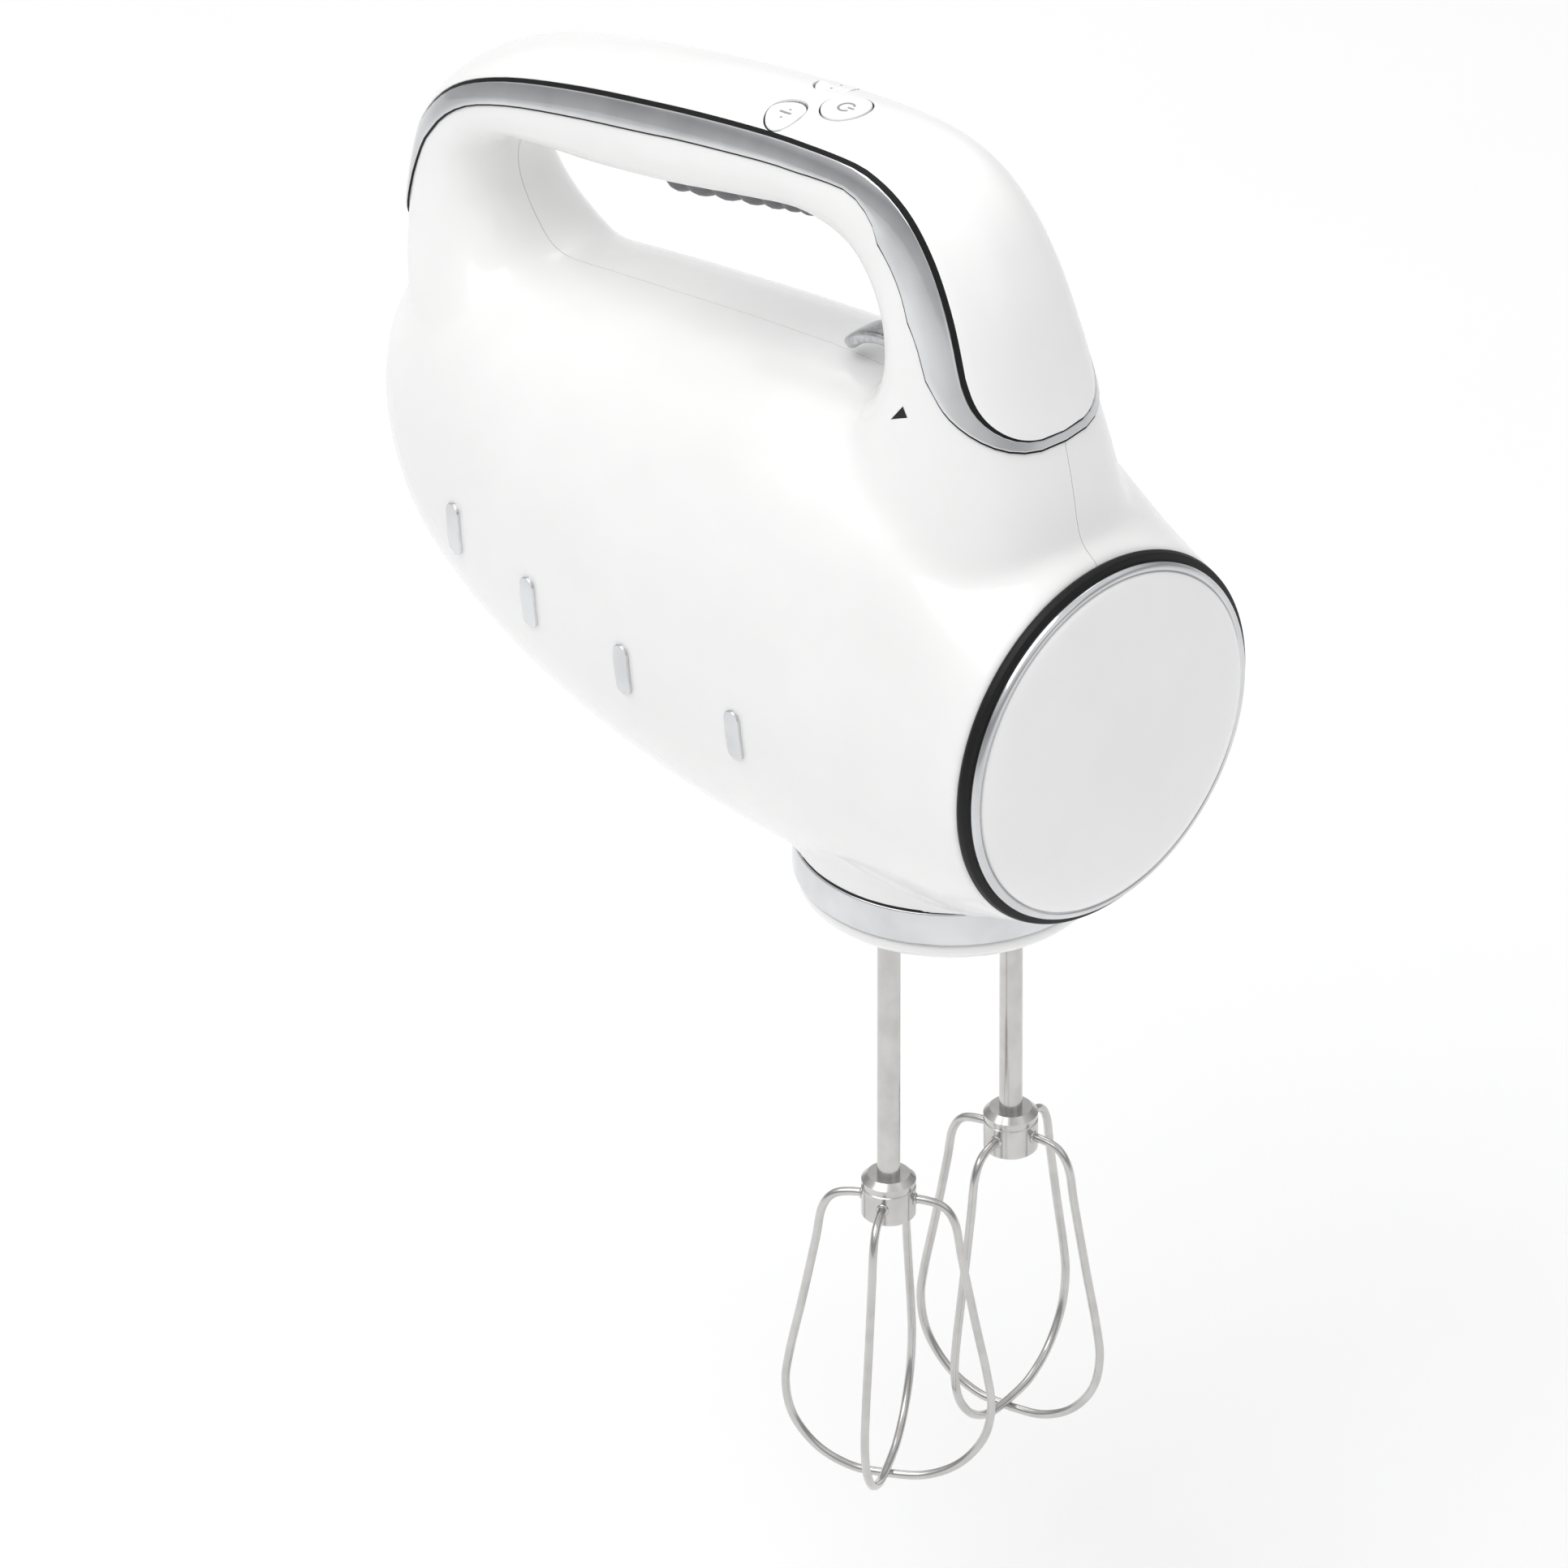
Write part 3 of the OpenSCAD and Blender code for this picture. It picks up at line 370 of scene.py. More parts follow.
def built(name, settings, layers):
    """A material whose inputs drift with noise.

    Each layer is a grain size in metres, then the two ends of the drift: hex colours for the base colour,
    numbers for the roughness, and 0 and a depth in metres for the relief. A last item changes the noise.
    """
    material = bpy.data.materials.new(name)
    material.use_nodes = True
    tree = material.node_tree
    tree.nodes.clear()
    where = add(tree, "ShaderNodeTexCoord").outputs["Object"]
    links = {}
    for socket, (grain, low, high, *changes) in layers.items():
        noise = {"Scale": 1 / grain, "Detail": 3.0, "Roughness": 0.55}
        noise.update(changes[0] if changes else {})
        scale = (1, 1, noise.pop("along_z", 1))
        squeeze = add(tree, "ShaderNodeMapping", {"Scale": scale}, {"Vector": where})
        fac = add(tree, "ShaderNodeTexNoise", noise, {"Vector": squeeze.outputs["Vector"]}).outputs["Fac"]
        if socket == "Base Color":
            ramp = add(tree, "ShaderNodeValToRGB", None, {"Fac": fac})
            for stop, place, colour in zip(ramp.color_ramp.elements, (0.35, 0.65), (low, high)):
                stop.position, stop.color = place, linear(colour)
            links[socket] = ramp.outputs["Color"]
        elif socket == "Roughness":
            spread = add(tree, "ShaderNodeMapRange", {"To Min": low, "To Max": high}, {"Value": fac})
            links[socket] = spread.outputs["Result"]
        else:
            # The relief's depth is taken at the upper end.
            relief = add(tree, "ShaderNodeBump", {"Strength": 0.6, "Distance": high}, {"Height": fac})
            links[socket] = relief.outputs["Normal"]
    shader = add(tree, "ShaderNodeBsdfPrincipled", settings, links)
    add(tree, "ShaderNodeOutputMaterial", None, {"Surface": shader.outputs["BSDF"]})
    return material


def even(grain, colours, roughness, relief=None):
    """Layers that share one grain."""
    layers = {"Base Color": (grain, *colours), "Roughness": (grain, *roughness)}
    if relief:
        layers["Normal"] = (grain, 0, relief)
    return layers


METAL = {"Metallic": 1.0}


def gloss_abs(look):
    """Injection moulded ABS with a polished mould finish: white, with a faint ripple in its reflections."""
    layers = even(0.05, (look.white_low, look.white_high), (0.2, 0.27))
    layers["Normal"] = (0.011, 0, 0.00002, {"Detail": 1.0})
    return built("gloss_moulded_abs", {"IOR": 1.53, "Coat Weight": 0.35, "Coat Roughness": 0.06}, layers)


def chrome_plate(look):
    """Chrome plated ABS: a bright mirror with a slight haze."""
    layers = even(0.018, (look.chrome_low, look.chrome_high), (0.1, 0.17), 0.00002)
    return built("chrome_plated_abs", METAL, layers)


def satin_chrome(_):
    """Satin chrome on the lever: brushed before plating, so its highlights are broad."""
    return built("satin_chrome_plate", METAL, even(0.0012, ("#B9BABC", "#D0D1D3"), (0.25, 0.36), 0.00001))


def drawn_stainless(look):
    """Drawn stainless wire and rod: warm grey metal with fine lengthwise draw marks."""
    # The marks are stretched along Z: 0.25 mm across, drawn coarse enough to show.
    marks = {"along_z": 0.06, "Detail": 2.0, "Roughness": 0.5}
    return built("drawn_stainless_steel", METAL, {
        "Base Color": (0.006, look.steel_low, look.steel_high),
        "Roughness": (0.00025, 0.14, 0.26, marks),
        "Normal": (0.00025, 0, 0.000012, marks)})


def soft_elastomer(_):
    """Over-moulded thermoplastic elastomer: dark grey, matt, finely spark-eroded."""
    # Real grain is near 0.1 mm; drawn at 0.35 mm so that it shows.
    return built("grip_elastomer", {"Sheen Weight": 0.15, "Specular IOR Level": 0.35},
                 even(0.00035, ("#5B5C5E", "#6E6F72"), (0.55, 0.72), 0.00006))


def black_nitrile_and_painted_shade(_):
    """Black matt rubber that takes almost no light: the front seal, and a gap filler that paints shade into gaps.
    """
    layers = even(0.0008, ("#060606", "#101010"), (0.4, 0.6))
    return built("black_seal_rubber_and_painted_shade", {"Specular IOR Level": 0.3}, layers)


def icon_ink(_):
    """Grey pad-printed ink on the buttons: flat, with no shine."""
    return built("pad_printed_ink", {}, even(0.0006, ("#8A8C8F", "#9A9C9F"), (0.45, 0.6)))


def plain(name, settings, grain, colours, rough):
    """A simple material: its roughness drifts a little above rough, and it has a faint relief."""
    return built(name, settings, even(grain, colours, (rough, rough + 0.14), 0.00002))


VISIBLE = {
    "white_plastic": gloss_abs, "chrome_plate": chrome_plate, "satin_lever": satin_chrome,
    "stainless": drawn_stainless, "grip_rubber": soft_elastomer, "black_seal": black_nitrile_and_painted_shade, "ink": icon_ink,
}
# What the inner pieces are made of: name, shader settings, grain in metres, two tones and roughness.
INNER = {
    # Zinc plate on steel: pale, and mottled by its crystals.
    "zinc_steel": ("zinc_plated_steel", METAL, 0.002, ("#9A9CA0", "#B4B6BA"), 0.3),
    # Sintered bronze: warm and dull from its pores.
    "bronze": ("sintered_bronze", METAL, 0.0006, ("#9C7440", "#B98F56"), 0.4),
    # Enamelled copper wire: red brown with a soft shine.
    "copper_wire": ("enamelled_copper", METAL, 0.0009, ("#8C4A26", "#B06A3C"), 0.28),
    # Stamped electrical steel: dark, with the grain of its stack.
    "laminations": ("stamped_laminations", METAL, 0.0007, ("#4B4E53", "#63666B"), 0.42),
    # Moulded nylon: pale grey and half matt.
    "grey_nylon": ("moulded_nylon", {}, 0.003, ("#A9A8A2", "#BBBAB4"), 0.45),
    # Pressed graphite: nearly black and powdery.
    "carbon": ("pressed_graphite", {}, 0.0008, ("#1B1B1C", "#2A2A2B"), 0.55),
    # Solder mask on board: green, and shiny where it is thick.
    "circuit_board": ("solder_mask", {}, 0.004, ("#0F5A2C", "#17693A"), 0.3),
}
PAINTS = {}


def paint(name):
    """The material of that name, made once."""
    if name not in PAINTS:
        look = bpy.context.scene.mixer_look
        PAINTS[name] = VISIBLE[name](look) if name in VISIBLE else plain(*INNER[name])
    return PAINTS[name]


# ------------------------------------------------------------------ settings

class MixerLook(bpy.types.PropertyGroup):
    """Sizes and colours that a user would change."""
    cover_half: bpy.props.FloatProperty(
        name="Cover half width", description="Half the width of the top cover along the grip",
        default=13.5 * MM, min=0.01, max=0.016, unit="LENGTH", subtype="DISTANCE")
    tongue_half: bpy.props.FloatProperty(
        name="Tongue half width", description="Half the width of the cover at its front tongue",
        default=18.5 * MM, min=0.014, max=0.02, unit="LENGTH", subtype="DISTANCE")
    trim_width: bpy.props.FloatProperty(
        name="Trim width", description="Width of the bright trim beside the cover",
        default=3.7 * MM, min=0.002, max=0.005, unit="LENGTH", subtype="DISTANCE")
    # The gap itself is real; its darkness is painted shade from the black band laid under it.
    dark_gap: bpy.props.FloatProperty(
        name="Dark gap", description="Width of the dark joint between the cover and the trim",
        default=0.9 * MM, min=0.0002, max=0.0015, unit="LENGTH", subtype="DISTANCE")
    seam: bpy.props.FloatProperty(
        name="Seam", description="Gap between the two housing halves",
        default=0.16 * MM, min=0.00005, max=0.0005, unit="LENGTH", subtype="DISTANCE")
    skin_voxel: bpy.props.FloatProperty(
        name="Skin voxel", description="Mesh size of the housing's blended skin",
        default=1.4 * MM, min=0.001, max=0.004, unit="LENGTH", subtype="DISTANCE")
    wire_radius: bpy.props.FloatProperty(
        name="Wire radius", description="Radius of the beater wire",
        default=1.0 * MM, min=0.0007, max=0.0015, unit="LENGTH", subtype="DISTANCE")
    white_low: bpy.props.StringProperty(
        name="White, low", description="Darker tone of the white plastic, as sRGB hex", default="#F2F2F1")
    white_high: bpy.props.StringProperty(
        name="White, high", description="Lighter tone of the white plastic, as sRGB hex", default="#F7F7F6")
    chrome_low: bpy.props.StringProperty(
        name="Chrome, low", description="Darker tone of the chrome plate, as sRGB hex", default="#CBCCCE")
    chrome_high: bpy.props.StringProperty(
        name="Chrome, high", description="Lighter tone of the chrome plate, as sRGB hex", default="#D9DADC")
    steel_low: bpy.props.StringProperty(
        name="Steel, low", description="Darker tone of the stainless steel, as sRGB hex", default="#BDBCBA")
    steel_high: bpy.props.StringProperty(
        name="Steel, high", description="Lighter tone of the stainless steel, as sRGB hex", default="#C9C8C6")
    key_power: bpy.props.FloatProperty(
        name="Key light", description="Power of the main soft light", default=7.4, min=0.0, unit="POWER")


# ------------------------------------------------------------------ housing

SECTION_STEPS = 4


def ring_angles(count):
    """Even angles round a section, with none on its middle plane."""
    return [2 * pi * (k + 0.5) / count for k in range(count)]


def barrel_loops():
    """Sections of the barrel from the rear end to the front."""
    loops = []
    for i in range((len(BARREL) - 1) * SECTION_STEPS + 1):
        x, low, high, wide, n = along(BARREL, i / SECTION_STEPS)
        x = max(x, BARREL[0][0])
        mid, half = (low + high) / 2, (high - low) / 2
        loops.append([at(x, wide * flat_sine(cos(a), n), mid + half * flat_sine(sin(a), n))
                      for a in ring_angles(72)])
    return loops


def handle_loops(inset):
    """Sections of the handle from the rear column to the front one, smaller all round by inset."""
    loops = []
    for i in range((len(HANDLE) - 1) * SECTION_STEPS + 1):
        row = along(HANDLE, i / SECTION_STEPS)
        mid, out, half = handle_axes(row)
        ring = []
        for a in ring_angles(48):
            p = mid + out * (half - inset) * flat_sine(sin(a), HANDLE_N)
            ring.append(at(p.x, (row[4] - inset) * flat_sine(cos(a), HANDLE_N), p.z))
        loops.append(ring)
    return loops


def blended_body(look):
    """Barrel and handle as one skin, with soft fillets where the two columns meet the barrel."""
    bm = bmesh.new()
    loft(bm, barrel_loops())
    # The handle's shell is lower than its cover by this much, so that the cover stands over it.
    loft(bm, handle_loops(0.55))
    neck = round_radius("base_collar") - 0.3 * MM
    lathe(bm, [(0, 12 * MM), (neck, 12 * MM), (neck, 40 * MM), (0, 40 * MM)], BASE, UP)
    obj = loose_mesh("body_skin", bm)
    remesh = obj.modifiers.new("Skin", "REMESH")
    remesh.mode = "VOXEL"
    remesh.voxel_size = look.skin_voxel
    apply_modifiers(obj, 180)
    # Fillets: smooth most where the columns meet the barrel.
    group = obj.vertex_groups.new(name="fillets")
    spots = [(at(12, 0, 118), 46 * MM), (at(-142, 0, 112), 34 * MM)]
    for v in obj.data.vertices:
        weight = max(min(1.6 * (1 - (v.co - c).length / r), 1) for c, r in spots)
        if weight > 0:
            group.add([v.index], weight, "REPLACE")
    for name, times, only in (("Fillets", 90, "fillets"), ("Polish", 10, "")):
        smooth = obj.modifiers.new(name, "SMOOTH")
        smooth.factor = 0.5
        smooth.iterations = times
        smooth.vertex_group = only
    apply_modifiers(obj, 180)
    return obj


def cutters():
    """One mesh of everything that is cut from the housing: base, lever slot and cooling slots."""
    bm = bmesh.new()
    rim = round_radius("base_collar") + 0.15 * MM
    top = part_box("base_collar")[1].z - BASE.z + 0.25 * MM
    lathe(bm, [(0, -20 * MM), (rim, -20 * MM), (rim, top), (0, top)], BASE, UP)
    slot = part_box("eject_lever")[1].y / MM + 0.8
    block(bm, at(-24, -slot, 133.5), at(-6, slot, 149))
    for i in range(5):
        for side in (-1, 1):
            x = -128 + 7 * i
            block(bm, at(x - 1.3, 14 * side - 7, 0), at(x + 1.3, 14 * side + 7, 30))
    return loose_mesh("cutters", bm)


class MIXER_OT_housing(bpy.types.Operator):
    """Make the two glossy housing halves"""
    bl_idname = "mixer.housing"
    bl_label = "Housing halves"

    def execute(self, context):
        look = context.scene.mixer_look
        body = blended_body(look)
        cut_with(body, cutters())
        for side, name in ((1, "left"), (-1, "right")):
            bm = bmesh.new()
            # A block on that side of the seam, well past the housing's bounds.
            near, far = side * look.seam / 2, side * 0.2
            block(bm, Vector((-0.5, min(near, far), -0.5)), Vector((0.5, max(near, far), 0.5)))
            half = loose_mesh("half_space", bm)
            shell = bpy.data.objects.new("shell", body.data.copy())
            context.scene.collection.objects.link(shell)
            cut_with(shell, half, "INTERSECT")
            bm = bmesh.new()
            bm.from_mesh(shell.data)
            bpy.data.objects.remove(shell)
            piece(name + "_shell", bm, "white_plastic", [name + "_housing"], smooth=50)
        bpy.data.objects.remove(body)
        return {"FINISHED"}


class MIXER_OT_cover(bpy.types.Operator):
    """Make the handle's cover, its bright trim, and black bands that paint shade into the gaps beside the trim"""
    bl_idname = "mixer.cover"
    bl_label = "Cover and trim"

    def band(self, name, finish, inner, outer, lift, wall, replaces=()):
        """A closed band on the handle's skin between two outlines, each (wider, longer, drop)."""
        look = bpy.context.scene.mixer_look
        bm = bmesh.new()
        steps = 8
        a = cover_outline(look, inner[0], inner[1])
        b = cover_outline(look, outer[0], outer[1])
        loops = []
        for k in range(steps + 1):
            t = k / steps
            drop = inner[2] * (1 - t) + outer[2] * t
            loops.append([handle_skin(p[0] * (1 - t) + q[0] * t, p[1] * (1 - t) + q[1] * t, lift, drop)
                          for p, q in zip(a, b)])
        loft(bm, loops, caps=False)
        face_out(bm)
        obj = piece(name, bm, finish, replaces)
        add_solidify(obj, wall)
        add_bevel(obj, min(0.45 * MM, wall / 3))
        apply_modifiers(obj)

    def execute(self, context):
        look = context.scene.mixer_look
        gap, wide = look.dark_gap / MM, look.trim_width / MM
        bm = bmesh.new()
        bmesh.ops.create_grid(bm, x_segments=120, y_segments=20, size=0.5)
        for v in bm.verts:
            t, side = v.co.x + 0.5, v.co.y * 2
            # Stations crowd towards both rounded tips.
            s = COVER_REAR + (COVER_FRONT - COVER_REAR) * (t - sin(2 * pi * t) / (2 * pi) * 0.85)
            v.co = handle_skin(s, side * self.half_width(look, s), 0)
        face_out(bm)
        cover = piece("cover_skin", bm, "white_plastic", ["handle_cover"])
        add_solidify(cover, 1.8 * MM)
        add_bevel(cover, 0.5 * MM)
        apply_modifiers(cover)
        cut_with(cover, button_cutters(), smooth=35)
        self.band("trim_band", "chrome_plate", (gap, 0.02, 0), (wide, 0.13, 0), 0, 1.5 * MM, ["handle_trim"])
        # A black band under the gap between the cover and the trim: painted shade in that gap.
        self.band("inner_joint", "black_seal", (-0.9, -0.03, 0), (gap + 0.8, 0.05, 0), -0.25, 0.8 * MM)
        # A black band under the trim's outer edge: a thin line of painted shade between the trim and the housing.
        self.band("outer_joint", "black_seal", (wide, 0.12, -0.5), (wide, 0.16, 0.4), -0.3, 0.5 * MM)
        return {"FINISHED"}

    def half_width(self, look, s):
        """Half width of the cover at station s, tips included, in design millimetres."""
        front = (s - COVER_FRONT + COVER_ROUND) / COVER_ROUND
        into = min(max(front, (COVER_REAR + COVER_ROUND - s) / COVER_ROUND, 0), 1)
        return cover_side(look, s) * max(tip_share(into, front > 0), 0.02)


def face_out(bm):
    """Turns an open sheet's faces away from the middle of the handle loop."""
    bmesh.ops.recalc_face_normals(bm, faces=bm.faces)
    heart = at(-60, 0, 130)
    votes = sum(1 if f.normal.dot(f.calc_center_median() - heart) > 0 else -1 for f in bm.faces)
    if votes < 0:
        bmesh.ops.reverse_faces(bm, faces=bm.faces)


# ------------------------------------------------------------------ buttons

BUTTONS = ("power", "plus", "minus")


def button_place(name):
    """Centre of a button's face on its frame solid, its outward direction, and its radius."""
    joint = next(j for j in frame["joints"] if j["name"] == name + "_press")
    out = -Vector(joint["axis"]).normalized()
    node = frame["nodes"][name + "_button"]
    reach = max(v.co.dot(out) for v in node.data.vertices)
    top = [v.co for v in node.data.vertices if v.co.dot(out) > reach - 0.05 * MM]
    centre = sum(top, Vector()) / len(top)
    radius = max((p - centre).length for p in top)
    return centre, out, radius


def button_cutters():
    """One mesh of the three buttons' holes."""
    bm = bmesh.new()
    for name in BUTTONS:
        centre, out, radius = button_place(name)
        hole = radius + 0.4 * MM
        lathe(bm, [(0, -6 * MM), (hole, -6 * MM), (hole, 4 * MM), (0, 4 * MM)], centre, out, 64)
    return loose_mesh("button_cutters", bm)


def skin_place(spot, out):
    """Where the housing's skin lies under a spot, looking down against out."""
    side, name = (1, "left_shell") if spot.y >= 0 else (-1, "right_shell")
    # A spot in the seam is looked up beside it.
    aside = Vector((0, side * 0.3 * MM, 0)) if abs(spot.y) < 0.3 * MM else Vector()
    return bpy.data.objects[name].ray_cast(spot + aside + out * 20 * MM, -out)[1]


def follow_skin(bm, centre, out, deepest):
    """Lowers everything above deepest as the skin falls away from the centre of a button."""
    top = skin_place(centre, out).dot(out)
    for v in bm.verts:
        if (v.co - centre).dot(out) > deepest:
            v.co += out * min(skin_place(v.co, out).dot(out) - top, 0)


def bar(bm, centre, out, along_dir, length, width, height):
    """A flat bar that lies across a button's face."""
    side = out.cross(along_dir).normalized()
    made = bmesh.ops.create_cube(bm, size=1)
    for v in made["verts"]:
        x, y, z = v.co
        v.co = centre + along_dir * x * length + side * y * width + out * z * height


class MIXER_OT_buttons(bpy.types.Operator):
    """Make the three buttons and their icons"""
    bl_idname = "mixer.buttons"
    bl_label = "Buttons"

    dish = 0.35 * MM

    def execute(self, context):
        for name in BUTTONS:
            centre, out, radius = button_place(name)
            self.cap(name, centre, out, radius)
            self.well(name, centre, out, radius)
            self.icon(name, centre, out)
        # The holes in the shells come last, because the faces above were shaped on the whole skin.
        for name in ("left_shell", "right_shell"):
            cut_with(bpy.data.objects[name], button_cutters(), smooth=50)
        return {"FINISHED"}

    def cap(self, name, centre, out, radius):
        """The part that is pressed, dished a little."""
        rim = [(0, -self.dish), (radius * 0.45, -self.dish * 0.8), (radius * 0.8, -self.dish * 0.22),
               (radius - 0.1 * MM, 0), (radius, -0.5 * MM), (radius, -5 * MM), (0, -5 * MM)]
        bm = bmesh.new()
        lathe(bm, round_corners(rim, 0.5 * MM), centre, out, 64)
        follow_skin(bm, centre, out, -2.5 * MM)
        piece(name + "_cap", bm, "white_plastic", [name + "_button"], body=name, smooth=60)

    def well(self, name, centre, out, radius):
        """A black ring round it, between the cover and the housing's skin: painted shade in the gap round the
        button.
        """
        inner, outer, low, high = radius - 0.4 * MM, radius + 0.7 * MM, -1.5 * MM, -0.75 * MM
        bm = bmesh.new()
        lathe(bm, [(inner, low), (outer, low), (outer, high), (inner, high), (inner, low)], centre, out, 64)
        follow_skin(bm, centre, out, -10 * MM)
        piece(name + "_well", bm, "black_seal")

    def icon(self, name, centre, out):
        """The ring and stroke of the power button, or the bars of a plus or a minus."""
        bm = bmesh.new()
        face = centre - out * (self.dish - 0.06 * MM)
        forward = Vector((out.z, 0, -out.x)).normalized()
        thick = 0.16 * MM
        if name == "power":
            lathe_arc(bm, face, out, forward, 1.9 * MM, 0.26 * MM, thick)
            bar(bm, face + forward * 1.5 * MM, out, forward, 1.9 * MM, 0.5 * MM, thick)
        else:
            bar(bm, face, out, out.cross(forward).normalized(), 3.6 * MM, 0.55 * MM, thick)
            if name == "plus":
                bar(bm, face, out, forward, 3.6 * MM, 0.55 * MM, thick * 1.05)
        follow_skin(bm, centre, out, -10 * MM)
        piece(name + "_icon", bm, "ink", body=name)


def lathe_arc(bm, centre, out, forward, radius, half, height):
    """An open ring with a gap towards forward."""
    gap = radians(76)
    start = Matrix.Rotation(gap / 2, 3, out) @ forward
    low, high = -height / 2, height / 2
    corners = [(radius - half, low), (radius + half, low), (radius + half, high), (radius - half, high)]
    verts = [bm.verts.new(centre + start * r + out * h) for r, h in corners]
    face = bm.faces.new(verts)
    whole = [face] + list(face.edges) + verts
    bmesh.ops.spin(bm, geom=whole, cent=centre, axis=out, angle=2 * pi - gap, steps=40)
    bmesh.ops.recalc_face_normals(bm, faces=bm.faces)


# ------------------------------------------------------------------ grip pad, lever, side marks

class MIXER_OT_grip(bpy.types.Operator):
    """Make the ribbed soft pad under the grip"""
    bl_idname = "mixer.grip"
    bl_label = "Grip pad"

    def execute(self, context):
        ribs, per_rib, across = 8, 8, 14
        # The pad's two ends, in handle stations.
        first, last = 7.75, 10.25
        bm = bmesh.new()
        bmesh.ops.create_grid(bm, x_segments=ribs * per_rib, y_segments=across, size=0.5)
        for v in bm.verts:
            t, q = v.co.x + 0.5, v.co.y * 2
            row = along(HANDLE, first + (last - first) * t)
            mid, out, half = handle_axes(row)
            phase = (t * ribs) % 1
            ends = min(t, 1 - t) * ribs
            rib = sin(pi * min(phase ** 0.8, 1)) ** 0.8
            proud = (0.9 + 2.3 * rib) * min(ends * 1.5 + 0.25, 1)
            width = 9.2 * (0.86 + 0.14 * rib) * min(ends * 1.2 + 0.6, 1)
            y = width * q
            skin = half * (1 - min(abs(y) / row[4], 1) ** HANDLE_N) ** (1 / HANDLE_N)
            # The pad's edges sink 0.8 mm into the grip.
            crown = max(1 - abs(q) ** 3.2, 0) ** 0.6
            p = mid - out * (skin - 0.8 + (proud + 0.8) * crown)
            v.co = at(p.x, y, p.z)
        bmesh.ops.recalc_face_normals(bm, faces=bm.faces)
        if sum(f.normal.z for f in bm.faces) > 0:
            bmesh.ops.reverse_faces(bm, faces=bm.faces)
        pad = piece("grip_ribs", bm, "grip_rubber", ["grip_pad"], smooth=60)
        add_solidify(pad, 1.2 * MM)
        apply_modifiers(pad, 60)
        return {"FINISHED"}


class MIXER_OT_lever(bpy.types.Operator):
    """Make the curved eject lever and the small arrow under it"""
    bl_idname = "mixer.lever"
    bl_label = "Eject lever"

    def execute(self, context):
        self.tab()
        self.arrow()
        return {"FINISHED"}

    def tab(self):
        """A curved blade that follows an arc about a heart inside the front column."""
        half_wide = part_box("eject_lever")[1].y / MM
        heart_x, heart_z, radius, half_thick = -16, 122, 18.9, 1.7
        start, end, steps = 40, 147, 40
        bm = bmesh.new()
        loops = []
        for i in range(steps + 1):
            t = i / steps
            a = radians(start + (end - start) * t)
            taper = sqrt(max(1 - max((t - 0.82) / 0.18, 0) ** 2, 0.02))
            ring = []
            for b in ring_angles(28):
                r = radius + half_thick * (0.6 + 0.4 * taper) * flat_sine(sin(b), 3.5)
                across = half_wide * taper * flat_sine(cos(b), 4.5)
                ring.append(at(heart_x + r * cos(a), across, heart_z + r * sin(a)))
            loops.append(ring)
        loft(bm, loops)
        piece("lever_tab", bm, "satin_lever", ["eject_lever"], body="lever", smooth=50)

    def arrow(self):
        """A small dark triangle on the rear flank of the front column, laid out as the camera sees it."""
        bm = bmesh.new()
        forward, right, up = view_axes()
        verts = []
        for across, rise in ((-13.8, 106.0), (-10.1, 106.3), (-11.1, 108.9)):
            start = BASE + (right * across + up * rise) * MM - forward * 0.5
            _, spot, normal, _ = bpy.data.objects["right_shell"].ray_cast(start, forward)
            verts.append(bm.verts.new(spot + normal * 0.1 * MM))
        made = bmesh.ops.extrude_face_region(bm, geom=[bm.faces.new(verts)])
        moved = [g for g in made["geom"] if isinstance(g, bmesh.types.BMVert)]
        bmesh.ops.translate(bm, vec=forward * 0.5 * MM, verts=moved)
        bmesh.ops.recalc_face_normals(bm, faces=bm.faces)
        piece("eject_arrow", bm, "black_seal")


def barrel_side(x, z):
    """How far across the barrel's side stands at x and z, in design millimetres."""
    s = next(i for i in range(len(BARREL) - 1) if BARREL[i + 1][0] >= x)
    lo, hi = 0.0, 1.0
    for _ in range(30):
        mid = (lo + hi) / 2
        if along(BARREL, s + mid)[0] < x:
            lo = mid
        else:
            hi = mid
    _, low, high, wide, n = along(BARREL, s + lo)
    share = abs(z - (low + high) / 2) / ((high - low) / 2)
    return wide * max(1 - share ** n, 0) ** (1 / n)


class MIXER_OT_marks(bpy.types.Operator):
    """Make the plain raised bars on both sides"""
    bl_idname = "mixer.marks"
    bl_label = "Side marks"
    # Middle of each bar, along X and up.
    places = ((-121.5, 60), (-93.5, 54), (-61, 51), (-24, 50))

    def execute(self, context):
        bm = bmesh.new()
        width, height, corner, proud = 4.6, 14, 2.2, 0.8
        for side in (-1, 1):
            for x, z in self.places:
                made = bmesh.ops.create_grid(bm, x_segments=8, y_segments=20, size=0.5)
                for v in made["verts"]:
                    px, pz = v.co.x * width, v.co.y * height
                    over = abs(pz) - (height / 2 - corner)
                    if over > 0:
                        px *= sqrt(max(1 - (over / corner) ** 2, 0.01))
                    v.co = at(x + px, side * (barrel_side(x + px, z + pz) + proud), z + pz)
        bmesh.ops.recalc_face_normals(bm, faces=bm.faces)
        for f in bm.faces:
            if f.normal.y * f.calc_center_median().y < 0:
                f.normal_flip()
        marks = piece("side_bars", bm, "chrome_plate", ["side_marks"])
        add_solidify(marks, 1.6 * MM)
        add_bevel(marks, 0.35 * MM)
        apply_modifiers(marks)
        return {"FINISHED"}


# ------------------------------------------------------------------ front and base

